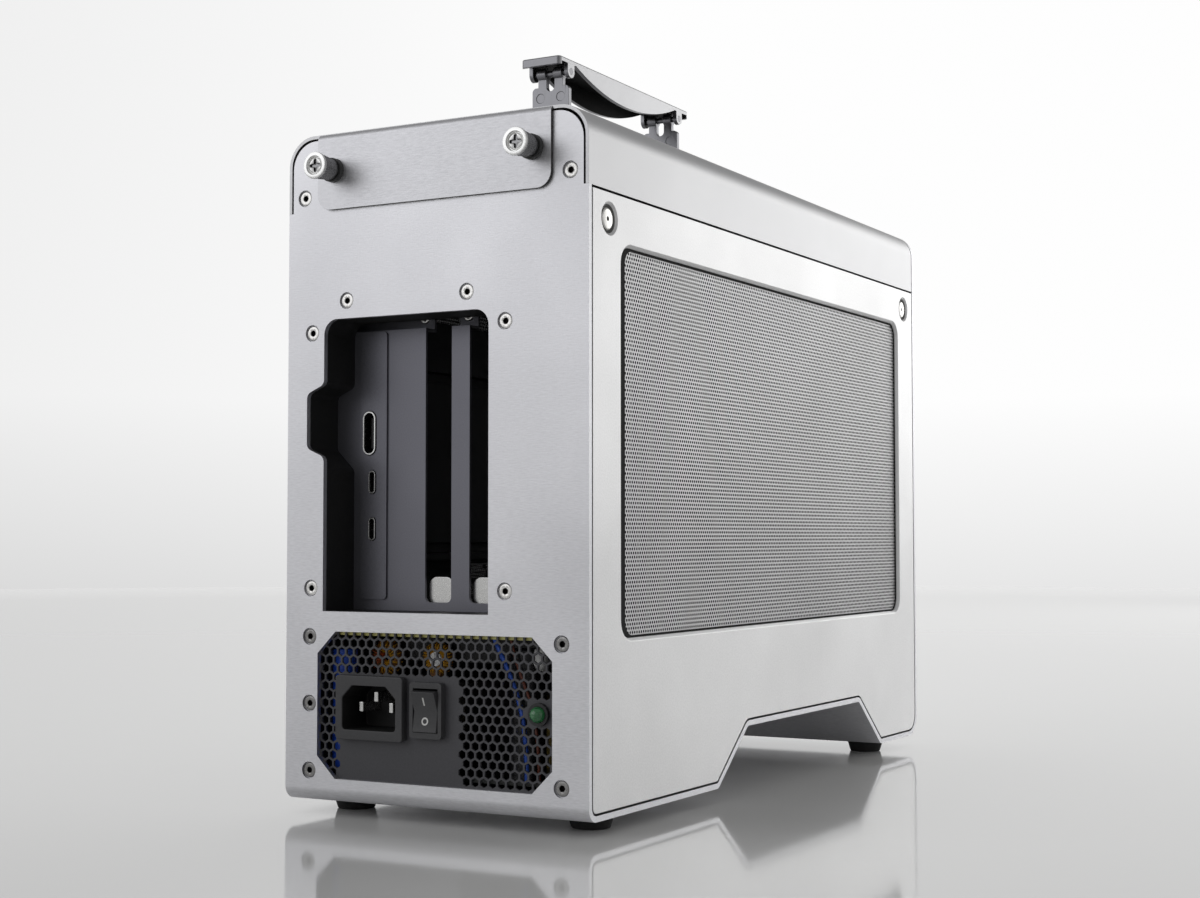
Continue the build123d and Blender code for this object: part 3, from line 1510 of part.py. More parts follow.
# Front fan and its screws
save(fan_frame(front_fan_plane, front_fan_size, front_fan_depth), "front_fan_frame")
save(fan_rotor(front_fan_plane, front_fan_size, front_fan_depth), "front_fan_rotor")

front_screw_plane = Plane(origin=(0, front_y, front_fan_z), x_dir=(-1, 0, 0), z_dir=(0, 1, 0))
fan_screw_reach = front_fan_spread / 2
fan_screw_points = [
    (x, z) for x in (-fan_screw_reach, fan_screw_reach) for z in (-fan_screw_reach, fan_screw_reach)
]
save(button_screws(fan_screw_points, front_screw_plane, screw_length), "front_fan_screws")
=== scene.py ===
import json
import math

import bmesh
import bpy
from mathutils import Matrix, Vector
from mathutils.bvhtree import BVHTree


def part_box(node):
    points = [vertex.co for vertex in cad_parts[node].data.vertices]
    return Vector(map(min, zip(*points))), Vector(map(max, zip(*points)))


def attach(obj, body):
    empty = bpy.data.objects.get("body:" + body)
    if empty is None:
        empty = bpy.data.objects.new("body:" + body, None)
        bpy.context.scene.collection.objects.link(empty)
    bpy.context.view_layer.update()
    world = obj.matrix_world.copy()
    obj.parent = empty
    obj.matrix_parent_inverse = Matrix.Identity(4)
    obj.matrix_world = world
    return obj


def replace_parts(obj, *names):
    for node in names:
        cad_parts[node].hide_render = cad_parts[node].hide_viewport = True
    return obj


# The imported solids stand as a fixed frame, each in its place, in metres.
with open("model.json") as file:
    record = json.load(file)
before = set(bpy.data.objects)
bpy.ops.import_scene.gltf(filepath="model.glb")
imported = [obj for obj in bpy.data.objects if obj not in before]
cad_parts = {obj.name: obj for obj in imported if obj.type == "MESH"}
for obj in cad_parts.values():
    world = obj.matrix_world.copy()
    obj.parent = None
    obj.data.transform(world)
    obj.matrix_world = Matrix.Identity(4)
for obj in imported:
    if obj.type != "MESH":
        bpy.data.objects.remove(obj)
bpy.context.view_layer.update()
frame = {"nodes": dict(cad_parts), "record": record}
solids = frame["nodes"]
body_of = {
    node: body
    for body, members in frame["record"]["behaviour"]["bodies"].items()
    for node in members
}


# Body band: one aluminium strip folded into rear panel, bottom, arch and front panel.
# It is brushed from side to side and clear anodised, and its cut edges are lightly rounded.
def add_node(tree, kind, inputs=None, **settings):
    """A node with its settings, each named input set to a value or linked to an output."""
    node = tree.nodes.new(kind)
    for key, value in settings.items():
        setattr(node, key, value)
    for socket, value in (inputs or {}).items():
        if isinstance(value, bpy.types.NodeSocket):
            tree.links.new(value, node.inputs[socket])
        else:
            node.inputs[socket].default_value = value
    return node


def new_finish(name, metallic=0.0):
    """A material, its tree, its surface shader and the piece's own coordinates."""
    material = bpy.data.materials.new(name)
    material.use_nodes = True
    tree = material.node_tree
    shader = tree.nodes["Principled BSDF"]
    shader.inputs["Metallic"].default_value = metallic
    place = add_node(tree, "ShaderNodeTexCoord").outputs["Object"]
    return material, tree, shader, place


def result(tree, kind, inputs=None, **settings):
    """The first output of such a node."""
    return add_node(tree, kind, inputs, **settings).outputs[0]


def maths(tree, operation, first, second=0.0):
    """One step of arithmetic in a tree."""
    return result(tree, "ShaderNodeMath", {0: first, 1: second}, operation=operation)


def noise(tree, place, grain, detail=2.0):
    """Noise with grains of about that width in metres."""
    grains = {"Vector": place, "Scale": 1 / grain, "Detail": detail}
    return result(tree, "ShaderNodeTexNoise", grains)


def spread(tree, value, start, stop, low=0.0, high=1.0):
    """A value's way from start to stop, turned into one from low to high."""
    limits = {"Value": value, "From Min": start, "From Max": stop, "To Min": low, "To Max": high}
    return result(tree, "ShaderNodeMapRange", limits)


def ranged(tree, value, low, high):
    """The middle of a noise spread over a range."""
    return spread(tree, value, 0.3, 0.7, low, high)


def blend(tree, share, low, high):
    """A colour between two others."""
    colours = {0: share, 6: (*low, 1), 7: (*high, 1)}
    return add_node(tree, "ShaderNodeMix", colours, data_type="RGBA").outputs[2]


def emboss(tree, shader, height, relief, strength=1.0):
    """Relief in the shading, as deep as it says in metres."""
    bump = {"Height": height, "Distance": relief, "Strength": strength}
    tree.links.new(result(tree, "ShaderNodeBump", bump), shader.inputs["Normal"])


def grained_finish(name, dark, light, grain, gloss, relief, metallic=0.0, stretch=(1, 1, 1)):
    """A finish whose tone, gloss and relief follow one fine grain, with a slow drift in tone.

    A tone given as one number is a neutral grey."""
    dark, light = [tone if isinstance(tone, tuple) else (tone,) * 3 for tone in (dark, light)]
    material, tree, shader, place = new_finish(name, metallic)
    drawn = result(tree, "ShaderNodeMapping", {"Vector": place, "Scale": stretch})
    fine = noise(tree, drawn, grain)
    drift = noise(tree, place, 0.07, 3.0)
    half = maths(tree, "MULTIPLY", maths(tree, "ADD", fine, drift), 0.5)
    tree.links.new(blend(tree, ranged(tree, half, 0, 1), dark, light), shader.inputs["Base Color"])
    tree.links.new(ranged(tree, fine, *gloss), shader.inputs["Roughness"])
    emboss(tree, shader, fine, relief, 0.6)
    return material


def new_piece(name, mesh):
    """A piece in the scene with that mesh."""
    piece = bpy.data.objects.new(name, mesh)
    bpy.context.scene.collection.objects.link(piece)
    return piece


def settle(piece):
    """The piece's modifiers become its plain mesh."""
    graph = bpy.context.evaluated_depsgraph_get()
    mesh = bpy.data.meshes.new_from_object(
        piece.evaluated_get(graph), preserve_all_data_layers=True, depsgraph=graph
    )
    piece.modifiers.clear()
    piece.data = mesh
    return piece


def stay_with(piece, node):
    """The piece moves with a solid."""
    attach(piece, body_of[node])
    return piece


def stand_for(piece, node):
    """The piece moves with the solid it stands for, which is hidden."""
    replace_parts(stay_with(piece, node), node)
    return piece


def welded_shape(node):
    """A copy of a solid's shape with its loose triangles joined."""
    shape = bmesh.new()
    shape.from_mesh(solids[node].data)
    bmesh.ops.remove_doubles(shape, verts=shape.verts, dist=2e-6)
    return shape


def mesh_of(shape, name):
    """The mesh of a shape that is done."""
    mesh = bpy.data.meshes.new(name)
    shape.to_mesh(mesh)
    shape.free()
    return mesh


def welded_copy(node):
    """A copy of a solid's mesh with its flat faces whole."""
    shape = welded_shape(node)
    flat = math.radians(0.5)
    bmesh.ops.dissolve_limit(shape, angle_limit=flat, verts=shape.verts, edges=shape.edges)
    mesh = mesh_of(shape, node + "_welded")
    if "custom_normal" in mesh.attributes:
        mesh.attributes.remove(mesh.attributes["custom_normal"])
    return mesh


def rounded_copy(node, finish, width):
    """A copy of a solid with its sharp edges rounded, which stands for it."""
    mesh = welded_copy(node)
    mesh.materials.append(finish)
    mesh.shade_smooth()
    piece = new_piece(node + "_dressed", mesh)
    rounding = piece.modifiers.new("Edge round", "BEVEL")
    rounding.width = width
    rounding.segments = 2
    rounding.angle_limit = math.radians(35)
    piece.modifiers.new("Even shading", "WEIGHTED_NORMAL").keep_sharp = True
    settle(piece)
    return stand_for(piece, node)


def paint(finish, *names):
    """A solid that is shown as it is gets its finish."""
    for name in names:
        materials = solids[name].data.materials
        materials.clear()
        materials.append(finish)


brushed_aluminium = grained_finish(
    "Brushed aluminium", dark=(0.62, 0.62, 0.643), light=(0.82, 0.82, 0.847), grain=0.0005,
    gloss=(0.40, 0.50), relief=0.00005, metallic=1.0, stretch=(0.18, 1, 1),
)
# A near-black finish, used for painted shade in narrow seams, on cut edges and in the mesh's holes,
# and for the thumbscrew collars.
black_and_painted_shade = grained_finish(
    "Black and painted shade", dark=0.05, light=0.08, grain=0.0006, gloss=(0.45, 0.55), relief=0.00003,
    metallic=0.6,
)
shaded_seam_reach = 0.0014


def ray_tree(node):
    """A solid's faces, ready for rays."""
    mesh = solids[node].data
    points = [vertex.co for vertex in mesh.vertices]
    return BVHTree.FromPolygons(points, [face.vertices for face in mesh.polygons])


def recolour(piece, finish, chosen):
    """The chosen faces of a piece get another finish."""
    materials = piece.data.materials
    if finish.name not in materials:
        materials.append(finish)
    index = materials.find(finish.name)
    for face in piece.data.polygons:
        if chosen(face):
            face.material_index = index


def paint_seam_shade(piece, *neighbours):
    """The walls that face a neighbour across a narrow seam get a painted shade."""
    trees = [ray_tree(name) for name in neighbours]

    def at_seam(face):
        start = face.center + 0.00002 * face.normal
        return any(tree.ray_cast(start, face.normal, shaded_seam_reach)[0] for tree in trees)

    recolour(piece, black_and_painted_shade, at_seam)


band = rounded_copy("body_band", brushed_aluminium, 0.0004)
# The band's walls along its seams get a painted shade.
paint_seam_shade(band, "side_panel_right", "side_panel_left", "top_cover")

# Slot tunnel: a black frame that lines the rear window and sets the card slots back.
# It is moulded plastic with a fine spark texture, held by four screws through the panel.
tunnel_black = grained_finish(
    "Tunnel black", dark=0.004, light=0.008, grain=0.0005, gloss=(0.55, 0.7), relief=0.00004
)
paint(tunnel_black, "slot_frame")

# Card frame: slot plate, ledge and shelf folded from one sheet, with two card slots.
# It is dark anodised aluminium, and its cut edges are barely broken.
graphite_sheet = grained_finish(
    "Graphite anodised sheet", dark=(0.15, 0.15, 0.172), light=(0.205, 0.205, 0.232), grain=0.0005,
    gloss=(0.36, 0.46), relief=0.00003, metallic=0.8,
)
rounded_copy("card_frame", graphite_sheet, 0.00015)

# Slot guides: two tabs behind the slots that catch the tip of a card's bracket.
# They are bright nickel-plated steel, bent up from the shelf.
bright_nickel = grained_finish(
    "Bright nickel", dark=(0.70, 0.70, 0.69), light=(0.76, 0.755, 0.74), grain=0.0005,
    gloss=(0.22, 0.28), relief=0.000004, metallic=1.0,
)
rounded_copy("slot_guides", bright_nickel, 0.0002)

# Interface card: a narrow bracket with a display socket and two bus sockets on a board.
# The bracket matches the card frame, and the socket shells are drawn from tinned steel.
rounded_copy("io_bracket", graphite_sheet, 0.00015)

tongue_black = grained_finish(
    "Tongue black", dark=(0.006, 0.006, 0.007), light=(0.012, 0.012, 0.013), grain=0.0006,
    gloss=(0.4, 0.5), relief=0.00002,
)


def socket_with_tongue(node, shell_wall):
    """A socket shell in nickel, with all that lies inside its wall in black."""
    low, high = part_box(node)

    def inside(face):
        x, y, z = face.center
        inside_x = low[0] + shell_wall < x < high[0] - shell_wall
        inside_z = low[2] + shell_wall < z < high[2] - shell_wall
        return inside_x and inside_z and y > low[1] + shell_wall

    recolour(rounded_copy(node, bright_nickel, 0.00008), tongue_black, inside)


socket_with_tongue("display_socket", 0.0007)
socket_with_tongue("usb_socket_upper", 0.0005)
socket_with_tongue("usb_socket_lower", 0.0005)


# Boards: the upright interface board, the backplane under the card and the supply's board.
# They are glass laminate with black resist over etched tracks, dotted with small chips.
def board_finish(name, resist, track):
    """Resist over straight etched tracks that show as a slightly lighter pattern."""
    material, tree, shader, place = new_finish(name)
    tracks = add_node(
        tree,
        "ShaderNodeTexVoronoi",
        {"Vector": place, "Scale": 260.0, "Randomness": 0.75},
        distance="MANHATTAN",
        feature="F1",
    ).outputs["Distance"]
    share = spread(tree, maths(tree, "PINGPONG", tracks, 0.22), 0.09, 0.11)
    tree.links.new(blend(tree, share, resist, track), shader.inputs["Base Color"])
    shader.inputs["Roughness"].default_value = 0.35
    emboss(tree, shader, share, 0.00003, 0.5)
    return material


black_board = board_finish("Black board", (0.008, 0.010, 0.009), (0.020, 0.024, 0.021))
paint(black_board, "interface_board", "backplane_board", "psu_board")


def node_group(name, sockets):
    """A tree for a modifier with named inputs, and those inputs."""
    tree = bpy.data.node_groups.new(name, "GeometryNodeTree")
    tree.is_modifier = True
    for label, kind in sockets.items():
        tree.interface.new_socket(label, in_out="INPUT", socket_type="NodeSocket" + kind)
    tree.interface.new_socket("Geometry", in_out="OUTPUT", socket_type="NodeSocketGeometry")
    return tree, tree.nodes.new("NodeGroupInput").outputs


def end_group(tree, geometry, finish):
    """The tree ends in real geometry with its finish."""
    real = result(tree, "GeometryNodeRealizeInstances", {"Geometry": geometry})
    dressed = result(tree, "GeometryNodeSetMaterial", {"Geometry": real, "Material": finish})
    add_node(tree, "NodeGroupOutput", {0: dressed})


def grow(piece, tree, values):
    """The tree's result on the piece, as its plain mesh."""
    modifier = piece.modifiers.new(tree.name, "NODES")
    modifier.node_group = tree
    for item in tree.interface.items_tree:
        if item.in_out == "INPUT" and item.name in values:
            modifier[item.identifier] = values[item.name]
    return settle(piece)


chips, chip = node_group(
    "Chips on a board",
    {
        "Geometry": "Geometry",
        "Spacing": "Float",
        "Smallest": "Vector",
        "Largest": "Vector",
        "Seed": "Int",
        "Finish": "Material",
    },
)
chip_places = add_node(
    chips,
    "GeometryNodeDistributePointsOnFaces",
    {
        "Mesh": chip["Geometry"],
        "Distance Min": chip["Spacing"],
        "Density Max": 60000.0,
        "Seed": chip["Seed"],
    },
    distribute_method="POISSON",
).outputs
chip_scale = result(
    chips,
    "FunctionNodeRandomValue",
    {0: chip["Smallest"], 1: chip["Largest"], "Seed": chip["Seed"]},
    data_type="FLOAT_VECTOR",
)
placed_chips = result(
    chips,
    "GeometryNodeInstanceOnPoints",
    {
        "Points": chip_places["Points"],
        "Instance": result(chips, "GeometryNodeMeshCube", {"Size": (1, 1, 1)}),
        "Scale": chip_scale,
        "Rotation": chip_places["Rotation"],
    },
)
end_group(chips, placed_chips, chip["Finish"])

chip_black = grained_finish(
    "Chip black", dark=(0.010, 0.010, 0.011), light=(0.022, 0.022, 0.024), grain=0.0008,
    gloss=(0.4, 0.55), relief=0.00002,
)


def chips_on(name, corners, spacing, seed, node):
    """Small chips scattered over a flat patch given by its four corners."""
    patch = bpy.data.meshes.new(name)
    patch.from_pydata(corners, [], [(0, 1, 2, 3)])
    piece = grow(
        new_piece(name, patch),
        chips,
        {
            "Spacing": spacing,
            "Smallest": (0.0012, 0.0012, 0.0008),
            "Largest": (0.0042, 0.0032, 0.0016),
            "Seed": seed,
            "Finish": chip_black,
        },
    )
    stay_with(piece, node)


board_edge = 0.004
low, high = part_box("interface_board")
card_corners = [
    (high[0], low[1] + 0.02, low[2] + board_edge),
    (high[0], high[1] - board_edge, low[2] + board_edge),
    (high[0], high[1] - board_edge, low[2] + 0.016),
    (high[0], low[1] + 0.02, low[2] + 0.016),
]
chips_on("interface_chips", card_corners, 0.005, 3, "interface_board")
low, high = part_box("backplane_board")
back_corners = [
    (low[0] + board_edge, high[1] - 0.050, high[2]),
    (high[0] - board_edge, high[1] - 0.050, high[2]),
    (high[0] - board_edge, high[1] - board_edge, high[2]),
    (low[0] + board_edge, high[1] - board_edge, high[2]),
]
chips_on("backplane_chips", back_corners, 0.006, 5, "backplane_board")

# Heat spreader: a thick plate on the interface board, with two grooves across it.
# It is black anodised aluminium, milled and screwed over the controller chip.
spreader_black = grained_finish(
    "Spreader black", dark=(0.030, 0.030, 0.033), light=(0.050, 0.050, 0.054), grain=0.0005,
    gloss=(0.35, 0.45), relief=0.00003, metallic=0.6,
)
rounded_copy("controller_heatsink", spreader_black, 0.0003)

# Card connector and power header on the backplane, with hexagonal standoffs under it.
# Both are black moulded nylon, and the standoffs are plated steel.
nylon_black = grained_finish(
    "Nylon black", dark=(0.009, 0.009, 0.010), light=(0.017, 0.017, 0.018), grain=0.0009,
    gloss=(0.38, 0.5), relief=0.00003,
)
paint(nylon_black, "card_connector", "power_header")
paint(bright_nickel, "backplane_standoffs", "thumbscrew_nuts")

# Power supply case and lid: steel sheet with a honeycomb vent punched in the rear wall.
# It is powder coated dark grey, and the four corner screws hold it to the rear panel.
powder_grey = grained_finish(
    "Powder grey", dark=(0.050, 0.050, 0.056), light=(0.074, 0.073, 0.081), grain=0.0009,
    gloss=(0.42, 0.56), relief=0.00006,
)
rounded_copy("psu_case", powder_grey, 0.00012)
paint(powder_grey, "psu_lid")

# Mains inlet: a socket shroud with a flange and three flat blades in its recess.
# The shroud is dark grey moulded plastic with a painted shade in its recess, and the blades are
# nickel-plated brass.
inlet_grey = grained_finish(
    "Inlet grey", dark=(0.040, 0.040, 0.043), light=(0.060, 0.060, 0.063), grain=0.0008,
    gloss=(0.36, 0.48), relief=0.00004,
)
inlet = rounded_copy("power_inlet", inlet_grey, 0.0004)
inlet_low, inlet_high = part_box("power_inlet")
inlet_middle = (Vector(inlet_low) + Vector(inlet_high)) / 2
flange_skin = 0.0003


def in_recess(face):
    """A wall of the inlet's recess, behind the flange's face."""
    inward = (inlet_middle - face.center).dot(face.normal) > 0
    return inward and face.center.y > inlet_low[1] + flange_skin and face.normal.y < 0.5


# The recess walls get a painted shade in the tunnel's black.
recolour(inlet, tunnel_black, in_recess)
rounded_copy("inlet_blades", bright_nickel, 0.0004)

# Mains switch: a housing snapped into the supply's wall, and a rocker that tilts in it.
# Both are grey moulded plastic, and the on and off marks are printed white.
rounded_copy("switch_housing", inlet_grey, 0.0003)
rounded_copy("switch_rocker", inlet_grey, 0.0003)

mark_white = grained_finish(
    "Mark white", dark=(0.62, 0.62, 0.60), light=(0.72, 0.72, 0.70), grain=0.0006,
    gloss=(0.4, 0.5), relief=0.00001,
)
rocker_low, rocker_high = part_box("switch_rocker")
rocker_x = (rocker_low[0] + rocker_high[0]) / 2
rocker_z = (rocker_low[2] + rocker_high[2]) / 2
mark_rise = 0.0037
mark_tall = 0.0030
mark_stroke = 0.0006
mark_thick = 0.00004
rocker_tree = ray_tree("switch_rocker")


def printed_mark(name, outer, inner):
    """A thin mark between two outlines in X and Z, laid on the rocker's face."""
    front = rocker_low[1] - 0.01
    lifted = []
    for x, z in outer + inner:
        hit = rocker_tree.ray_cast(Vector((x, front, z)), Vector((0, 1, 0)))
        lifted.append(hit[0] + Vector((0, -mark_thick, 0)))
    sunk = [point + Vector((0, 2 * mark_thick, 0)) for point in lifted]
    count = len(outer)
    faces = []
    for k in range(count):
        a, b = k, (k + 1) % count
        c, d = count + a, count + b
        under_a, under_b, under_c, under_d = (2 * count + corner for corner in (a, b, c, d))
        faces.append((a, b, d, c))
        faces.append((b, a, under_a, under_b))
        faces.append((c, d, under_d, under_c))
        faces.append((under_b, under_a, under_c, under_d))
    mesh = bpy.data.meshes.new(name)
    mesh.from_pydata(lifted + sunk, [], faces)
    mesh.materials.append(mark_white)
    stay_with(new_piece(name, mesh), "switch_rocker")


def ellipse(middle_x, middle_z, half_x, half_z, count=24):
    """Points of an ellipse as seen from the rear."""
    turns = [2 * math.pi * k / count for k in range(count)]
    return [(middle_x + half_x * math.cos(a), middle_z + half_z * math.sin(a)) for a in turns]


def bar(middle_x, middle_z, half_x, half_z):
    """Corners of an upright bar as seen from the rear."""
    return [
        (middle_x + half_x, middle_z - half_z),
        (middle_x + half_x, middle_z + half_z),
        (middle_x - half_x, middle_z + half_z),
        (middle_x - half_x, middle_z - half_z),
    ]


on_z = rocker_z + mark_rise
off_z = rocker_z - mark_rise
half_stroke = mark_stroke / 2
printed_mark(
    "on_mark",
    bar(rocker_x, on_z, half_stroke, mark_tall / 2),
    bar(rocker_x, on_z, half_stroke / 20, mark_tall / 2 - half_stroke),
)
printed_mark(
    "off_mark",
    ellipse(rocker_x, off_z, mark_tall / 2, mark_tall / 2),
    ellipse(rocker_x, off_z, mark_tall / 2 - mark_stroke, mark_tall / 2 - mark_stroke),
)

# Status lamp: a small round lens in a black bezel at the right of the supply's wall.
# The lens is clear green plastic over a diode that is off.
lamp_green, lamp_tree, lamp_shader, lamp_place = new_finish("Lamp green")
lamp_depth = noise(lamp_tree, lamp_place, 0.002)
lamp_share = ranged(lamp_tree, lamp_depth, 0, 1)
lamp_tone = blend(lamp_tree, lamp_share, (0.01, 0.10, 0.03), (0.03, 0.20, 0.06))
lamp_tree.links.new(lamp_tone, lamp_shader.inputs["Base Color"])
lamp_shader.inputs["Roughness"].default_value = 0.12
lamp_shader.inputs["Coat Weight"].default_value = 0.6
paint(lamp_green, "status_lamp")
paint(nylon_black, "lamp_bezel")

# Chokes: two ferrite rings inside the supply's wall, wound with enamelled wire.
# The left ring has an amber and a copper winding, the right one an amber winding round a can.
core_ochre = grained_finish(
    "Core ochre", dark=(0.30, 0.12, 0.03), light=(0.48, 0.22, 0.05), grain=0.0010,
    gloss=(0.4, 0.6), relief=0.00004,
)
paint(core_ochre, "psu_coils")
copper_enamel = grained_finish(
    "Copper enamel", dark=(0.60, 0.12, 0.04), light=(0.80, 0.22, 0.08), grain=0.0008,
    gloss=(0.18, 0.30), relief=0.00001, metallic=0.2,
)
amber_enamel = grained_finish(
    "Amber enamel", dark=(0.92, 0.42, 0.02), light=(1.0, 0.60, 0.06), grain=0.0008,
    gloss=(0.2, 0.32), relief=0.00001,
)
wound, coil = node_group(
    "Wire wound on a ring",
    {
        "Turns": "Float",
        "Points": "Int",
        "Start": "Float",
        "Sweep": "Float",
        "Ring radius": "Float",
        "Winding radius": "Float",
        "Wire radius": "Float",
        "Centre": "Vector",
        "Finish": "Material",
    },
)
wire_line = result(wound, "GeometryNodeMeshLine", {"Count": coil["Points"]})
wire_path = result(wound, "GeometryNodeMeshToCurve", {"Mesh": wire_line})
wire_share = maths(wound, "DIVIDE", result(wound, "GeometryNodeInputIndex"), coil["Points"])
ring_sweep = maths(wound, "MULTIPLY", wire_share, coil["Sweep"])
ring_turn = maths(wound, "ADD", ring_sweep, coil["Start"])
turns_laid = maths(wound, "MULTIPLY", wire_share, coil["Turns"])
wire_turn = maths(wound, "MULTIPLY", turns_laid, math.tau)
out_reach = maths(wound, "MULTIPLY", maths(wound, "COSINE", wire_turn), coil["Winding radius"])
wire_reach = maths(wound, "ADD", out_reach, coil["Ring radius"])
wire_places = result(
    wound,
    "ShaderNodeCombineXYZ",
    {
        "X": maths(wound, "MULTIPLY", maths(wound, "COSINE", ring_turn), wire_reach),
        "Y": maths(wound, "MULTIPLY", maths(wound, "SINE", wire_turn), coil["Winding radius"]),
        "Z": maths(wound, "MULTIPLY", maths(wound, "SINE", ring_turn), wire_reach),
    },
)
laid_wire = result(
    wound,
    "GeometryNodeSetPosition",
    {"Geometry": wire_path, "Position": wire_places, "Offset": coil["Centre"]},
)
wire_section = result(
    wound, "GeometryNodeCurvePrimitiveCircle", {"Resolution": 6, "Radius": coil["Wire radius"]}
)
solid_wire = result(
    wound,
    "GeometryNodeCurveToMesh",
    {"Curve": laid_wire, "Profile Curve": wire_section, "Fill Caps": True},
)
end_group(wound, solid_wire, coil["Finish"])


def boxes_of(node):
    """The box of each separate solid in a node, from left to right."""
    shape = welded_shape(node)
    waiting = set(shape.verts)
    boxes = []
    while waiting:
        front = [waiting.pop()]
        points = []
        while front:
            vertex = front.pop()
            points.append(vertex.co.copy())
            for edge in vertex.link_edges:
                other = edge.other_vert(vertex)
                if other in waiting:
                    waiting.remove(other)
                    front.append(other)
        low = Vector([min(p[k] for p in points) for k in range(3)])
        high = Vector([max(p[k] for p in points) for k in range(3)])
        boxes.append((low, high))
    shape.free()
    return sorted(boxes, key=lambda box: tuple(round(c, 5) for c in box[0]))


wire_radius = 0.0004
turn_points = 16


def wind(name, box, section, turns, start, sweep, finish):
    """A winding over part of a ring, with the angles in degrees from the right, upwards."""
    low, high = box
    ring = (high.x - low.x) / 2 - section
    winding = grow(
        new_piece(name, bpy.data.meshes.new(name)),
        wound,
        {
            "Turns": float(turns),
            "Points": turns * turn_points,
            "Start": math.radians(start),
            "Sweep": math.radians(sweep),
            "Ring radius": ring,
            "Winding radius": section + wire_radius,
            "Wire radius": wire_radius,
            "Centre": ((low.x + high.x) / 2, (low.y + high.y) / 2, high.z - ring - section),
            "Finish": finish,
        },
    )
    winding.data.shade_smooth()
    stay_with(winding, "psu_coils")


left_choke, right_choke = boxes_of("psu_coils")
left_section = 0.0023
right_section = 0.0015
wind("left_amber_winding", left_choke, left_section, 15, -125, 235, amber_enamel)
wind("left_copper_winding", left_choke, left_section, 6, 125, 95, copper_enamel)
wind("right_amber_winding", right_choke, right_section, 30, -80, 340, amber_enamel)


def reach_at(outline, size, angle):
    """How far a round, hexagonal or cross-shaped outline reaches in a direction."""
    if outline == "hexagon":
        return size / math.cos(angle % (math.pi / 3) - math.pi / 6)
    if outline == "cross":
        turn = (angle + math.pi / 4) % (math.pi / 2) - math.pi / 4
        return min(size / math.cos(turn), 0.25 * size / max(abs(math.sin(turn)), 0.01))
    return size


def turned_mesh(name, rings, segments=24):
    """A body turned round Z from rings of outline, size and height, closed at both ends."""
    points = [Vector((0, 0, rings[0][2]))]
    for outline, size, height in rings:
        for k in range(segments):
            angle = math.tau * k / segments
            reach = reach_at(outline, size, angle)
            points.append(Vector((reach * math.cos(angle), reach * math.sin(angle), height)))
    points.append(Vector((0, 0, rings[-1][2])))
    faces = []
    for k in range(segments):
        after = (k + 1) % segments
        faces.append((0, 1 + k, 1 + after))
        for ring in range(len(rings) - 1):
            start = 1 + ring * segments
            faces.append((start + k, start + segments + k, start + segments + after, start + after))
        last = 1 + (len(rings) - 1) * segments
        faces.append((last + after, last + k, len(points) - 1))
    mesh = bpy.data.meshes.new(name)
    mesh.from_pydata(points, [], faces)
    mesh.shade_smooth()
    mesh.set_sharp_from_angle(angle=math.radians(40))
    return mesh


can_silver = grained_finish(
    "Can silver", dark=0.78, light=0.88, grain=0.0006, gloss=(0.3, 0.4), relief=0.00001,
    metallic=0.9,
)
can_radius = 0.0030
can_length = 0.005
can = turned_mesh(
    "choke_can",
    [
        ("cross", 0.0022, -0.0003),
        ("cross", 0.0022, -0.00005),
        ("round", 0.0024, 0.0),
        ("round", can_radius - 0.0003, 0.0),
        ("round", can_radius, -0.0003),
        ("round", can_radius, -can_length),
    ],
)
can.materials.append(can_silver)
towards_rear = Matrix.Rotation(math.pi / 2, 4, "X")
ring_low, ring_high = right_choke
ring_half = (ring_high.x - ring_low.x) / 2
can_face = Vector(((ring_low.x + ring_high.x) / 2, ring_low.y, ring_high.z - ring_half))
can.transform(Matrix.Translation(can_face) @ towards_rear)
stay_with(new_piece("choke_can", can), "psu_coils")

# Capacitors, transformer and heat sinks on the supply's board.
# The cans wear blue and black sleeves, the core is taped, and the sinks are extruded aluminium.
sleeve_blue = grained_finish(
    "Sleeve blue", dark=(0.02, 0.08, 0.55), light=(0.04, 0.14, 0.80), grain=0.0012,
    gloss=(0.2, 0.3), relief=0.00002,
)
sleeve_black = grained_finish(
    "Sleeve black", dark=(0.006, 0.006, 0.007), light=(0.012, 0.012, 0.014), grain=0.0012,
    gloss=(0.25, 0.35), relief=0.00002,
)
cans = rounded_copy("psu_capacitors", sleeve_black, 0.0006)
supply_low, supply_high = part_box("psu_case")
blue_side = -0.04
blue_rear = supply_low[1] + 0.02
recolour(cans, sleeve_blue, lambda face: face.center.x < blue_side and face.center.y < blue_rear)
taped_core = grained_finish(
    "Taped core", dark=(0.30, 0.22, 0.05), light=(0.42, 0.31, 0.08), grain=0.0015,
    gloss=(0.35, 0.45), relief=0.00003, stretch=(1, 1, 0.1),
)
paint(taped_core, "psu_transformer")
sink_grey = grained_finish(
    "Sink aluminium", dark=(0.55, 0.55, 0.56), light=(0.70, 0.70, 0.71), grain=0.0009,
    gloss=(0.3, 0.42), relief=0.00003, metallic=1.0, stretch=(0.06, 1, 1),
)
paint(sink_grey, "psu_heatsinks")

# Loose fittings behind the vent: a yellow insulating film under the lid's edge, two leads
# that run down to the board, and a blob of white sealing compound beside the right can.
film_yellow = grained_finish(
    "Film yellow", dark=(0.72, 0.66, 0.20), light=(0.88, 0.84, 0.34), grain=0.0020,
    gloss=(0.25, 0.35), relief=0.00001,
)
compound_white = grained_finish(
    "Compound white", dark=(0.80, 0.80, 0.79), light=(0.90, 0.90, 0.89), grain=0.0010,
    gloss=(0.4, 0.5), relief=0.00004,
)
lead_blue = grained_finish(
    "Lead blue", dark=(0.03, 0.10, 0.55), light=(0.05, 0.16, 0.75), grain=0.0010,
    gloss=(0.25, 0.35), relief=0.00001,
)
lead_brown = grained_finish(
    "Lead brown", dark=(0.14, 0.035, 0.020), light=(0.24, 0.070, 0.040), grain=0.0010,
    gloss=(0.25, 0.35), relief=0.00001,
)
wall_inside = supply_low[1] + 0.001
lid_under = supply_high[2]


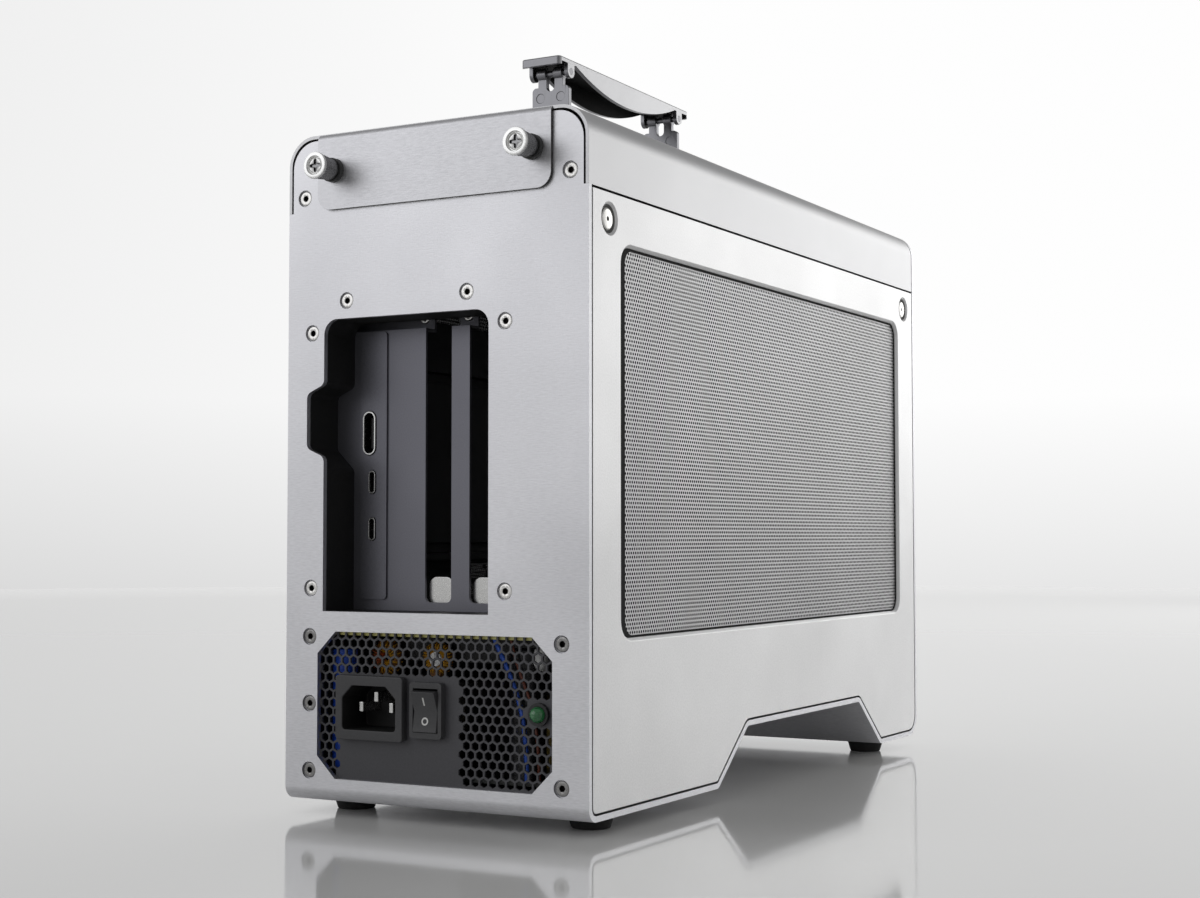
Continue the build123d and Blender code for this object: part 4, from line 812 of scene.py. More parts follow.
def fitting(name, mesh, finish, node):
    """A loose fitting that stays with a solid."""
    mesh.materials.append(finish)
    stay_with(new_piece(name, mesh), node)


def lead(name, radius, finish, places):
    """A lead as a smooth tube through places given by X, depth behind the wall and drop."""
    points = [(x, wall_inside + depth, lid_under - drop) for x, depth, drop in places]
    line = bpy.data.curves.new(name, "CURVE")
    line.dimensions = "3D"
    line.bevel_depth = radius
    line.bevel_resolution = 2
    line.use_fill_caps = True
    path = line.splines.new("NURBS")
    path.points.add(len(points) - 1)
    for knot, point in zip(path.points, points):
        knot.co = (*point, 1)
    path.use_endpoint_u = True
    path.order_u = 3
    holder = new_piece(name, line)
    mesh = bpy.data.meshes.new_from_object(holder)
    bpy.data.objects.remove(holder)
    mesh.materials.clear()
    mesh.shade_smooth()
    fitting(name, mesh, finish, "psu_case")


film = bmesh.new()
bmesh.ops.create_cube(film, size=1.0)
film_size = Vector((0.104, 0.0004, 0.0042))
film_middle = Vector((0, wall_inside + 0.0006, lid_under - film_size.z / 2))
bmesh.ops.scale(film, vec=film_size, verts=film.verts)
bmesh.ops.translate(film, vec=film_middle, verts=film.verts)
fitting("insulating_film", mesh_of(film, "insulating_film"), film_yellow, "psu_case")

board_drop = lid_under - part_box("psu_board")[1][2]
blue_places = [
    (0.0200, 0.0120, 0.0020),
    (0.0240, 0.0020, 0.0022),
    (0.0262, 0.0015, 0.0060),
    (0.0355, 0.0015, 0.0240),
    (0.0390, 0.0015, 0.0400),
    (0.0390, 0.0020, board_drop),
]
lead("blue_lead", 0.0009, lead_blue, blue_places)
brown_places = [
    (0.0290, 0.0120, 0.0020),
    (0.0310, 0.0040, 0.0022),
    (0.0322, 0.0022, 0.0060),
    (0.0360, 0.0022, 0.0170),
    (0.0435, 0.0022, 0.0330),
    (0.0440, 0.0025, board_drop),
]
lead("brown_lead", 0.0006, lead_brown, brown_places)

blob = bmesh.new()
bmesh.ops.create_icosphere(blob, subdivisions=3, radius=1.0)
blob_half = Vector((0.0030, 0.0030, 0.0046))
blob_middle = Vector((0.0425, wall_inside + 0.0062, 0.0628))
for vertex in blob.verts:
    x, y, z = vertex.co
    lump = 1 + 0.06 * math.sin(5 * x + 7 * z) + 0.05 * math.sin(9 * y)
    vertex.co = blob_middle + Vector([lump * vertex.co[k] * blob_half[k] for k in range(3)])
blob_mesh = mesh_of(blob, "sealing_compound")
blob_mesh.shade_smooth()
fitting("sealing_compound", blob_mesh, compound_white, "psu_case")

# Fans: one in the supply's lid and one behind the front panel, each a rotor in a frame.
# Both are moulded in black plastic, and the rotors turn on a pin in the frame's hub.
fan_black = grained_finish(
    "Fan black", dark=(0.008, 0.008, 0.009), light=(0.015, 0.015, 0.016), grain=0.0010,
    gloss=(0.3, 0.42), relief=0.00003,
)
paint(fan_black, "psu_fan_frame", "psu_fan_rotor", "front_fan_frame", "front_fan_rotor")


# Output harness: the supply's leads in one sleeve, up through the shelf to the header.
# The sleeve is braided polyester, so the strands cross as small diamonds.
def braided_finish(name, dark, light, strand):
    """Strands that cross on the slant, in tone and in relief."""
    material, tree, shader, place = new_finish(name)
    slants = []
    for lean in (math.pi / 4, -math.pi / 4):
        turned = {"Vector": place, "Rotation": (lean, lean, lean)}
        leaned = result(tree, "ShaderNodeMapping", turned)
        wave = {"Vector": leaned, "Scale": 0.3 / strand, "Distortion": 0.4}
        slants.append(add_node(tree, "ShaderNodeTexWave", wave).outputs["Fac"])
    crossing = maths(tree, "MAXIMUM", slants[0], slants[1])
    tree.links.new(blend(tree, crossing, dark, light), shader.inputs["Base Color"])
    shader.inputs["Roughness"].default_value = 0.7
    emboss(tree, shader, crossing, 0.0002)
    return material


sleeve_braid = braided_finish("Sleeve braid", (0.006, 0.006, 0.006), (0.035, 0.035, 0.037), 0.0012)
paint(sleeve_braid, "output_harness")

# Corner brackets: four folded tabs that tie the side panels and the cover to the band.
# They are plain zinc-plated steel, and the side screws thread into them.
zinc_plate = grained_finish(
    "Zinc plate", dark=(0.48, 0.49, 0.50), light=(0.64, 0.65, 0.66), grain=0.0030,
    gloss=(0.25, 0.4), relief=0.00001, metallic=1.0,
)
paint(zinc_plate, "corner_brackets")

# Side panels: flat aluminium sheets with a large window, each held by two dished screws.
# They are bead-blasted and anodised, and the screws' dishes and the seams get a painted shade.
blasted_aluminium = grained_finish(
    "Blasted aluminium", dark=(0.65, 0.65, 0.655), light=(0.81, 0.81, 0.815), grain=0.0007,
    gloss=(0.40, 0.50), relief=0.00005, metallic=1.0,
)
dish_painted_shade = grained_finish(
    "Dish painted shade", dark=(0.11, 0.11, 0.105), light=(0.17, 0.17, 0.165), grain=0.0006,
    gloss=(0.45, 0.55), relief=0.00003, metallic=0.8,
)
dish_reach = 0.0056
panel_skin = 0.0001
for node in ("side_panel_right", "side_panel_left"):
    panel = rounded_copy(node, blasted_aluminium, 0.0003)
    paint_seam_shade(panel, "body_band", "top_cover")
    low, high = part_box(node)
    screw_places = [sum(box, Vector()) / 2 for box in boxes_of("side_panel_screws")]

    def in_dish(face):
        below_face = low[0] + panel_skin < face.center.x < high[0] - panel_skin
        off_screw = min(math.hypot(*(face.center - place).yz) for place in screw_places)
        return below_face and off_screw < dish_reach

    # The walls of the dish round each screw get a painted shade.
    recolour(panel, dish_painted_shade, in_dish)

# Side meshes: thin sheets behind the windows, punched all over with staggered six-sided holes.
# They are anodised aluminium, spot-welded along a plain border, and their hole walls get a painted
# shade.
mesh_aluminium = grained_finish(
    "Mesh aluminium", dark=(0.44, 0.44, 0.445), light=(0.52, 0.52, 0.525), grain=0.0007,
    gloss=(0.40, 0.50), relief=0.00002, metallic=1.0,
)
hole_pitch = 0.0018
hole_radius = 0.00061
row_step = hole_pitch * math.sqrt(3) / 2
mesh_overlap = 0.0008
window_lap = 0.004
wall_share = 0.92

punched, sheet = node_group(
    "Punched sheet",
    {
        "Columns": "Int",
        "Rows": "Int",
        "Pitch": "Float",
        "Row step": "Float",
        "Hole radius": "Float",
        "Thickness": "Float",
        "Turn": "Rotation",
        "Centre": "Vector",
        "Finish": "Material",
        "Wall finish": "Material",
    },
)
column_gaps = maths(punched, "SUBTRACT", sheet["Columns"], 1.0)
sheet_wide = maths(punched, "MULTIPLY", column_gaps, sheet["Pitch"])
row_gaps = maths(punched, "SUBTRACT", sheet["Rows"], 1.0)
sheet_tall = maths(punched, "MULTIPLY", row_gaps, sheet["Row step"])
hole_grid = result(
    punched,
    "GeometryNodeMeshGrid",
    {
        "Size X": sheet_wide,
        "Size Y": sheet_tall,
        "Vertices X": sheet["Columns"],
        "Vertices Y": sheet["Rows"],
    },
)
grid_place = result(punched, "GeometryNodeInputPosition")
grid_height = add_node(punched, "ShaderNodeSeparateXYZ", {"Vector": grid_place}).outputs["Y"]
lifted_height = maths(punched, "ADD", grid_height, maths(punched, "MULTIPLY", sheet_tall, 0.5))
row_number = maths(punched, "ROUND", maths(punched, "DIVIDE", lifted_height, sheet["Row step"]))
odd_row = maths(punched, "SUBTRACT", maths(punched, "MODULO", row_number, 2.0), 0.5)
half_pitch = maths(punched, "MULTIPLY", sheet["Pitch"], 0.5)
row_shift = maths(punched, "MULTIPLY", odd_row, half_pitch)
row_offset = result(punched, "ShaderNodeCombineXYZ", {"X": row_shift})
shifted = {"Geometry": hole_grid, "Offset": row_offset}
staggered = result(punched, "GeometryNodeSetPosition", shifted)
cell_radius = maths(punched, "MULTIPLY", sheet["Pitch"], 1 / math.sqrt(3))
web_width = maths(punched, "SUBTRACT", cell_radius, sheet["Hole radius"])
hole_edge = result(
    punched, "GeometryNodeCurvePrimitiveCircle", {"Resolution": 6, "Radius": sheet["Hole radius"]}
)
cell = add_node(punched, "GeometryNodeJoinGeometry")
for axis, reach in (("X", web_width), ("Y", sheet["Thickness"])):
    end = result(punched, "ShaderNodeCombineXYZ", {axis: reach})
    line = result(punched, "GeometryNodeCurvePrimitiveLine", {"Start": (0, 0, 0), "End": end})
    swept = {"Curve": hole_edge, "Profile Curve": line}
    punched.links.new(result(punched, "GeometryNodeCurveToMesh", swept), cell.inputs[0])
upright = {"Geometry": cell.outputs[0], "Rotation": (0, 0, math.pi / 6)}
upright_cell = result(punched, "GeometryNodeTransform", upright)
laid = {"Points": staggered, "Instance": upright_cell}
laid_cells = result(punched, "GeometryNodeInstanceOnPoints", laid)
turned_cells = result(
    punched,
    "GeometryNodeTransform",
    {"Geometry": laid_cells, "Rotation": sheet["Turn"], "Translation": sheet["Centre"]},
)
real_cells = result(punched, "GeometryNodeRealizeInstances", {"Geometry": turned_cells})
merged = {"Geometry": real_cells, "Distance": 0.00002}
joined_cells = result(punched, "GeometryNodeMergeByDistance", merged)
flat = {"Geometry": joined_cells, "Shade Smooth": False}
flat_cells = result(punched, "GeometryNodeSetShadeSmooth", flat)
dressed = {"Geometry": flat_cells, "Material": sheet["Finish"]}
dressed_cells = result(punched, "GeometryNodeSetMaterial", dressed)
facing = result(punched, "GeometryNodeInputNormal")
tilt = add_node(punched, "ShaderNodeSeparateXYZ", {"Vector": facing}).outputs["X"]
in_hole = maths(punched, "LESS_THAN", maths(punched, "ABSOLUTE", tilt), 0.5)
walls = {"Geometry": dressed_cells, "Selection": in_hole, "Material": sheet["Wall finish"]}
add_node(punched, "NodeGroupOutput", {0: result(punched, "GeometryNodeSetMaterial", walls)})


def punched_mesh(node, side):
    """A punched sheet in the window of one side panel, facing outwards, in two halves."""
    low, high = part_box(node)
    hidden = 2 * (window_lap - mesh_overlap)
    field_length = high[1] - low[1] - hidden
    field_height = high[2] - low[2] - hidden
    columns = math.ceil(field_length / hole_pitch)
    half_rows = 2 * math.ceil(field_height / row_step / 4)
    face = high[0] if side > 0 else low[0]
    for half in (-1, 1):
        middle_z = (low[2] + high[2]) / 2 + half * half_rows * row_step / 2
        piece = grow(
            new_piece(f"{node}_{'upper' if half > 0 else 'lower'}", bpy.data.meshes.new(node)),
            punched,
            {
                "Columns": columns,
                "Rows": half_rows,
                "Pitch": hole_pitch,
                "Row step": row_step,
                "Hole radius": hole_radius,
                "Thickness": wall_share * (high[0] - low[0]),
                "Turn": (math.pi / 2, 0, side * math.pi / 2),
                "Centre": (face, (low[1] + high[1]) / 2, middle_z),
                "Finish": mesh_aluminium,
                # The hole walls get a painted shade.
                "Wall finish": black_and_painted_shade,
            },
        )
        if half < 0:
            stand_for(piece, node)
        else:
            stay_with(piece, node)


punched_mesh("side_mesh_right", 1)
punched_mesh("side_mesh_left", -1)

# Window shade: a flat black strip round the inside of each window, on the mesh's border, painted
# shade where the window's edge shades the mesh.
# It is wide along the rear edge, narrow at top and bottom, a thread at the front.
painted_window_shade = grained_finish(
    "Painted window shade", dark=0.004, light=0.010, grain=0.0006, gloss=(0.8, 0.95), relief=0.00005
)
shade_strip_thick = 0.0004
shade_strip_rear = 0.0050
shade_strip_edge = 0.0008
shade_strip_front = 0.0002
window_corner = 0.007
shade_strip_corner = 0.0055


def rounded_outline(low_y, low_z, high_y, high_z, radius, steps=8):
    """Points round a rectangle with rounded corners, seen along X."""
    centres = [
        (high_y - radius, high_z - radius, 0),
        (low_y + radius, high_z - radius, 1),
        (low_y + radius, low_z + radius, 2),
        (high_y - radius, low_z + radius, 3),
    ]
    points = []
    for centre_y, centre_z, quarter in centres:
        for k in range(steps + 1):
            angle = math.pi / 2 * (quarter + k / steps)
            y, z = radius * math.cos(angle), radius * math.sin(angle)
            points.append((centre_y + y, centre_z + z))
    return points


def window_shade_strip(node, side):
    """A black ring of painted shade on the outer face of one mesh."""
    low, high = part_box(node)
    rear, bottom = low[1] + window_lap, low[2] + window_lap
    front, top = high[1] - window_lap, high[2] - window_lap
    inner = (rear + shade_strip_rear, bottom + shade_strip_edge, front - shade_strip_front, top - shade_strip_edge)
    outlines = rounded_outline(rear, bottom, front, top, window_corner)
    outlines += rounded_outline(*inner, shade_strip_corner)
    count = len(outlines) // 2
    face = high[0] if side > 0 else low[0]
    depths = (face, face + side * shade_strip_thick)
    points = [(depth, y, z) for depth in depths for y, z in outlines]
    faces = []
    for k in range(count):
        after = (k + 1) % count
        faces.append((2 * count + k, 2 * count + after, 3 * count + after, 3 * count + k))
        faces.append((count + k, 3 * count + k, 3 * count + after, count + after))
    mesh = bpy.data.meshes.new(node + "_seal")
    mesh.from_pydata(points, [], faces)
    if side < 0:
        mesh.flip_normals()
    mesh.materials.append(painted_window_shade)
    stay_with(new_piece(node + "_seal", mesh), node)


window_shade_strip("side_mesh_right", 1)
window_shade_strip("side_mesh_left", -1)


# Screws: flat heads with a hexagon socket, sunk in the rear panel and in the side dishes.
# They are turned from nickel-plated steel, each stands at its own angle in its seat, and their
# sockets get a painted shade.
def screw_mesh(name, head_radius, head_height, length, socket, socket_depth):
    """A flat-headed screw whose head's top lies at the origin and whose shank runs down."""
    shank = 0.48 * head_radius
    screw = turned_mesh(
        name,
        [
            ("hexagon", socket, -socket_depth),
            ("hexagon", socket, -0.00015),
            ("round", 1.25 * socket, 0.0),
            ("round", 0.84 * head_radius, 0.0),
            ("round", 0.94 * head_radius, -0.12 * head_height),
            ("round", head_radius, -0.45 * head_height),
            ("round", head_radius, -head_height),
            ("round", shank, -head_height),
            ("round", shank, -length),
        ],
    )
    mark_sunk(screw, 1.05 * socket / math.cos(math.pi / 6))
    return screw


def mark_sunk(mesh, reach):
    """The points of a turned mesh that lie in its end's recess are marked for a painted shade in
    its finish.
    """
    depths = [0.0 if math.hypot(*point.co.xy) > reach else 1.0 for point in mesh.vertices]
    mesh.attributes.new("sunk", "FLOAT", "POINT").data.foreach_set("value", depths)


def with_socket_shade(finish):
    """The finish with a near-black painted shade where the mesh is marked as sunk."""
    tree = finish.node_tree
    colour = tree.nodes["Principled BSDF"].inputs["Base Color"]
    sunk = add_node(tree, "ShaderNodeAttribute", attribute_name="sunk").outputs["Fac"]
    mixed = {0: sunk, 6: colour.links[0].from_socket, 7: (0.006, 0.005, 0.005, 1)}
    tree.links.new(add_node(tree, "ShaderNodeMix", mixed, data_type="RGBA").outputs[2], colour)
    return finish


seated, seat = node_group(
    "Screws in their seats",
    {"Geometry": "Geometry", "Screw": "Object", "Seed": "Int", "Finish": "Material"},
)
screw_shape = add_node(seated, "GeometryNodeObjectInfo", {"Object": seat["Screw"]})
screw_axis = result(
    seated, "GeometryNodeInputNamedAttribute", {"Name": "axis"}, data_type="FLOAT_VECTOR"
)
facing_out = result(seated, "FunctionNodeAlignRotationToVector", {"Vector": screw_axis}, axis="Z")
screw_angle = add_node(
    seated,
    "FunctionNodeRandomValue",
    {2: 0.0, 3: math.tau, "Seed": seat["Seed"]},
    data_type="FLOAT",
).outputs[1]
about_z = {"Axis": (0, 0, 1), "Angle": screw_angle}
screw_turn = result(seated, "FunctionNodeAxisAngleToRotation", about_z)
screw_stand = result(
    seated,
    "FunctionNodeRotateRotation",
    {"Rotation": facing_out, "Rotate By": screw_turn},
    rotation_space="LOCAL",
)
seated_screws = result(
    seated,
    "GeometryNodeInstanceOnPoints",
    {
        "Points": seat["Geometry"],
        "Instance": screw_shape.outputs["Geometry"],
        "Rotation": screw_stand,
    },
)
end_group(seated, seated_screws, seat["Finish"])


def seat_screws(node, seed, finish, head, along=1, facing=-1):
    """Screws at the places of a node's solids, along an axis, facing one way or both ways out."""
    tops = []
    axes = []
    for low, high in boxes_of(node):
        middle = (low + high) / 2
        axis = Vector((0, 0, 0))
        axis[along] = facing or math.copysign(1, middle[along])
        middle[along] = high[along] if axis[along] > 0 else low[along]
        tops.append(middle)
        axes.extend(axis)
        head_radius = (high.z - low.z) / 2
        length = high[along] - low[along]
    screw = screw_mesh(node + "_pattern", head_radius, length=length, **head)
    pattern = new_piece(node + "_pattern", screw)
    seats = bpy.data.meshes.new(node)
    seats.from_pydata(tops, [], [])
    seats.attributes.new("axis", "FLOAT_VECTOR", "POINT").data.foreach_set("vector", axes)
    piece = grow(
        new_piece(node + "_turned", seats),
        seated,
        {"Screw": pattern, "Seed": seed, "Finish": finish},
    )
    bpy.data.objects.remove(pattern)
    stand_for(piece, node)


screw_steel = with_socket_shade(
    grained_finish(
        "Screw steel", dark=(0.72, 0.71, 0.69), light=(0.82, 0.81, 0.79), grain=0.0005,
        gloss=(0.26, 0.36), relief=0.00001, metallic=1.0,
    )
)
screw_browned = with_socket_shade(
    grained_finish(
        "Browned steel", dark=(0.24, 0.235, 0.23), light=(0.34, 0.335, 0.33), grain=0.0005,
        gloss=(0.26, 0.36), relief=0.00001, metallic=1.0,
    )
)
panel_head = {"head_height": 0.0008, "socket": 0.00105, "socket_depth": 0.0012}
bracket_head = {"head_height": 0.0012, "socket": 0.0008, "socket_depth": 0.0009}
side_head = {"head_height": 0.0008, "socket": 0.0007, "socket_depth": 0.0006}
seat_screws("psu_screws", 0, screw_browned, panel_head)
seat_screws("slot_frame_screws", 1, screw_steel, panel_head)
seat_screws("card_bar_screws", 2, screw_steel, panel_head)
seat_screws("rear_corner_screws", 3, screw_steel, panel_head)
seat_screws("bracket_screws", 5, screw_steel, bracket_head)
seat_screws("front_fan_screws", 6, screw_steel, panel_head, facing=1)
seat_screws("side_panel_screws", 7, screw_steel, side_head, along=0, facing=0)

# Top cover: a U of aluminium sheet over the body, with a tab folded down at the rear.
# It is finely blasted, the tab is brushed, and its cut edges and the seams get a painted shade.
cover_aluminium = grained_finish(
    "Cover aluminium", dark=(0.54, 0.54, 0.55), light=(0.61, 0.61, 0.62), grain=0.0006,
    gloss=(0.38, 0.48), relief=0.00005, metallic=1.0,
)
tab_aluminium = grained_finish(
    "Tab aluminium", dark=(0.60, 0.60, 0.62), light=(0.68, 0.68, 0.705), grain=0.0005,
    gloss=(0.40, 0.50), relief=0.00005, metallic=1.0, stretch=(0.18, 1, 1),
)
cover = rounded_copy("top_cover", cover_aluminium, 0.0002)
paint_seam_shade(cover, "body_band", "side_panel_right", "side_panel_left")
tab_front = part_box("body_band")[0][1] - 0.0001


def on_tab_edge(face):
    """A cut edge of the tab that stands proud of the rear panel."""
    return face.center.y < tab_front and abs(face.normal.y) < 0.6 and face.normal.z < 0.5


# The tab's cut edges get a painted shade.
recolour(cover, black_and_painted_shade, on_tab_edge)
recolour(cover, tab_aluminium, lambda face: face.center.y < tab_front and face.normal.y < -0.6)

# Handle well and legs: a black channel under the cover in which two flat legs slide.
# The well is moulded plastic, and the legs and their pins are plain satin steel.
paint(tunnel_black, "handle_well")
satin_steel = grained_finish(
    "Satin steel", dark=(0.22, 0.22, 0.235), light=(0.32, 0.32, 0.335), grain=0.0008,
    gloss=(0.3, 0.42), relief=0.00003, metallic=1.0, stretch=(1, 1, 0.08),
)
rounded_copy("handle_leg_rear", satin_steel, 0.0003)
rounded_copy("handle_leg_front", satin_steel, 0.0003)
paint(satin_steel, "handle_pins")

# Handle grip: a bar with a flat top and bowed aprons, pinned to the legs at its ears.
# It is blasted aluminium with sawn ends, a little smoother than the body, lined with black.
grip_aluminium = grained_finish(
    "Grip aluminium", dark=(0.38, 0.38, 0.39), light=(0.47, 0.47, 0.48), grain=0.0006,
    gloss=(0.30, 0.40), relief=0.00003, metallic=1.0,
)
grip = rounded_copy("handle_grip", grip_aluminium, 0.0004)
grip_low, grip_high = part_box("handle_grip")
grip_middle = (grip_low[0] + grip_high[0]) / 2
grip_under = grip_high[2] - 0.0025


def in_grip(face):
    """A face of the channel inside the grip."""
    off_middle = face.center.x - grip_middle
    turned_in = face.normal.x * off_middle < -0.5 * abs(off_middle)
    return turned_in or (face.normal.z < -0.5 and face.center.z > grip_under)


recolour(grip, tunnel_black, in_grip)
recolour(grip, satin_steel, lambda face: abs(face.normal.y) > 0.7 and not in_grip(face))

# Thumbscrews: two knurled knobs that hold the cover's tab, each with a bright ring face.
# The knob is dark nickel over brass, and a cross-slotted screw is set in its dished end, its slot
# in painted shade.
gunmetal = grained_finish(
    "Gunmetal", dark=(0.24, 0.24, 0.245), light=(0.34, 0.34, 0.345), grain=0.0008,
    gloss=(0.25, 0.36), relief=0.00002, metallic=1.0,
)
ribbed, knurl = node_group(
    "Ribs round a knob",
    {"Ribs": "Int", "Rib": "Object", "Turn": "Rotation", "Centre": "Vector", "Finish": "Material"},
)
rib_points = result(ribbed, "GeometryNodePoints", {"Count": knurl["Ribs"]})
rib_share = maths(ribbed, "DIVIDE", result(ribbed, "GeometryNodeInputIndex"), knurl["Ribs"])
rib_angle = {"Axis": (0, 0, 1), "Angle": maths(ribbed, "MULTIPLY", rib_share, math.tau)}
rib_turn = result(ribbed, "FunctionNodeAxisAngleToRotation", rib_angle)
rib_shape = add_node(ribbed, "GeometryNodeObjectInfo", {"Object": knurl["Rib"]})
placed_ribs = result(
    ribbed,
    "GeometryNodeInstanceOnPoints",
    {"Points": rib_points, "Instance": rib_shape.outputs["Geometry"], "Rotation": rib_turn},
)
turned_ribs = result(
    ribbed,
    "GeometryNodeTransform",
    {"Geometry": placed_ribs, "Rotation": knurl["Turn"], "Translation": knurl["Centre"]},
)
end_group(ribbed, turned_ribs, knurl["Finish"])

knob_length = 0.0101
knob_root = 0.0040
knob_tip = 0.0048
rim_radius = 0.0052
rim_thick = 0.0014
rib_count = 36
rib_rise = 0.00014
turned_nickel = with_socket_shade(
    grained_finish(
        "Turned nickel", dark=(0.76, 0.76, 0.75), light=(0.84, 0.84, 0.83), grain=0.0005,
        gloss=(0.24, 0.32), relief=0.000004, metallic=1.0,
    )
)

rib_mesh = bpy.data.meshes.new("rib")
rib_half = 0.6 * math.pi * knob_root / rib_count
rib_low = -knob_length + 0.0002
rib_high = -rim_thick - 0.0001
rib_mesh.from_pydata(
    [
        (knob_root - rib_rise, -rib_half, rib_low),
        (knob_root - rib_rise, rib_half, rib_low),
        (knob_root + rib_rise, 0, rib_low),
        (knob_tip - rib_rise, -rib_half, rib_high),
        (knob_tip - rib_rise, rib_half, rib_high),
        (knob_tip + rib_rise, 0, rib_high),
    ],
    [],
    [(0, 1, 2), (3, 5, 4), (0, 3, 4, 1), (1, 4, 5, 2), (2, 5, 3, 0)],
)
rib_pattern = new_piece("rib", rib_mesh)
for node in ("thumbscrew_left", "thumbscrew_right"):
    low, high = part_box(node)
    length = high[1] - low[1]
    face_centre = Vector(((low[0] + high[0]) / 2, low[1], (low[2] + high[2]) / 2))
    to_place = Matrix.Translation(face_centre) @ towards_rear
    knob = turned_mesh(
        node + "_knob",
        [
            ("round", knob_tip, -rim_thick),
            ("round", knob_root, -knob_length),
            ("round", 0.0015, -knob_length),
            ("round", 0.0015, -length),
        ],
        segments=48,
    )
    knob.materials.append(gunmetal)
    knob.transform(to_place)
    stand_for(new_piece(node + "_knob", knob), node)
    ribs = grow(
        new_piece(node + "_knurl", bpy.data.meshes.new(node + "_knurl")),
        ribbed,
        {
            "Ribs": rib_count,
            "Rib": rib_pattern,
            "Turn": (math.pi / 2, 0, 0),
            "Centre": face_centre,
            "Finish": gunmetal,
        },
    )
    stay_with(ribs, node)
    face = turned_mesh(
        node + "_face",
        [
            ("cross", 0.0024, -0.0016),
            ("cross", 0.0024, -0.0007),
            ("round", 0.0026, -0.0006),
            ("round", 0.0030, -0.0008),
            ("round", 0.0032, -0.0012),
            ("round", 0.0034, -0.0012),
            ("round", 0.0036, -0.0002),
            ("round", 0.0038, 0.0),
            ("round", 0.0048, 0.0),
            ("round", 0.0051, -0.0001),
            ("round", rim_radius, -0.0004),
            ("round", rim_radius, -rim_thick + 0.0003),
            ("round", rim_radius - 0.0002, -rim_thick),
            ("round", knob_tip - 0.0004, -rim_thick - 0.0001),
        ],
        segments=48,
    )
    # The cross slot is marked for a painted shade.
    mark_sunk(face, 0.00245)
    face.materials.append(turned_nickel)
    face.transform(to_place)
    stay_with(new_piece(node + "_face", face), node)
bpy.data.objects.remove(rib_pattern)
paint(black_and_painted_shade, "thumbscrew_collars")

# Feet: four tapered rubber pads under the body, each with a screw sunk in its middle.
# They are moulded in black rubber with a matt skin.
foot_rubber = grained_finish(
    "Foot rubber", dark=0.008, light=0.018, grain=0.0009, gloss=(0.65, 0.8), relief=0.00006
)
for node in ("foot_left_rear", "foot_left_front", "foot_right_rear", "foot_right_front"):
    rounded_copy(node, foot_rubber, 0.0006)
paint(zinc_plate, "foot_screws")

# Floor: a polished pale grey table top whose far side fades into the white surroundings.
# Its gloss mirrors the enclosure near the feet and the backdrop farther away.
floor_radius = 9.0
fade_start = 2.5
floor_shape = bmesh.new()
bmesh.ops.create_circle(floor_shape, cap_ends=True, segments=96, radius=floor_radius)
floor_mesh = mesh_of(floor_shape, "floor")
floor_finish, floor_tree, floor_shader, floor_place = new_finish("Table top")
floor_shader.inputs["Base Color"].default_value = (0.82, 0.82, 0.81, 1)
floor_shader.inputs["Roughness"].default_value = 0.08
floor_reach = add_node(
    floor_tree, "ShaderNodeVectorMath", {0: floor_place}, operation="LENGTH"
).outputs["Value"]
fade_steps = maths(floor_tree, "LOGARITHM", floor_reach, floor_radius / fade_start)
fade_from = math.log(fade_start, floor_radius / fade_start)
floor_fade = spread(floor_tree, fade_steps, fade_from, fade_from + 1)
see_through = result(floor_tree, "ShaderNodeBsdfTransparent")
faded = {0: floor_fade, 1: floor_shader.outputs[0], 2: see_through}
faded_floor = result(floor_tree, "ShaderNodeMixShader", faded)
floor_tree.links.new(faded_floor, floor_tree.nodes["Material Output"].inputs["Surface"])
floor_mesh.materials.append(floor_finish)
new_piece("floor", floor_mesh)

# Backdrop: a white paper sweep all round the table, lit from above and behind.
# It falls off to its foot and towards the camera's side, and the metal mirrors it.
sweep_radius = 3.2
sweep_tall = 1.5
sweep_steps = 64
sweep_points = []
sweep_faces = []
for k in range(sweep_steps):
    turn = math.tau * k / sweep_steps
    x, y = sweep_radius * math.cos(turn), sweep_radius * math.sin(turn)
    sweep_points += [(x, y, 0.0), (x, y, sweep_tall)]
    after = (k + 1) % sweep_steps
    sweep_faces.append((2 * k, 2 * k + 1, 2 * after + 1, 2 * after))
sweep_mesh = bpy.data.meshes.new("backdrop")
sweep_mesh.from_pydata(sweep_points, [], sweep_faces)
sweep_white, sweep_tree, sweep_shader, sweep_place = new_finish("Backdrop white")
sweep_shader.inputs["Base Color"].default_value = (0, 0, 0, 1)
sweep_shader.inputs["Specular IOR Level"].default_value = 0.0
sweep_shader.inputs["Emission Color"].default_value = (1, 1, 1, 1)
across = add_node(sweep_tree, "ShaderNodeSeparateXYZ", {"Vector": sweep_place}).outputs


def fall_off(axis, start, stop, low, high):
    """The backdrop's light along one axis, between two places."""
    return spread(sweep_tree, across[axis], start, stop, low, high)


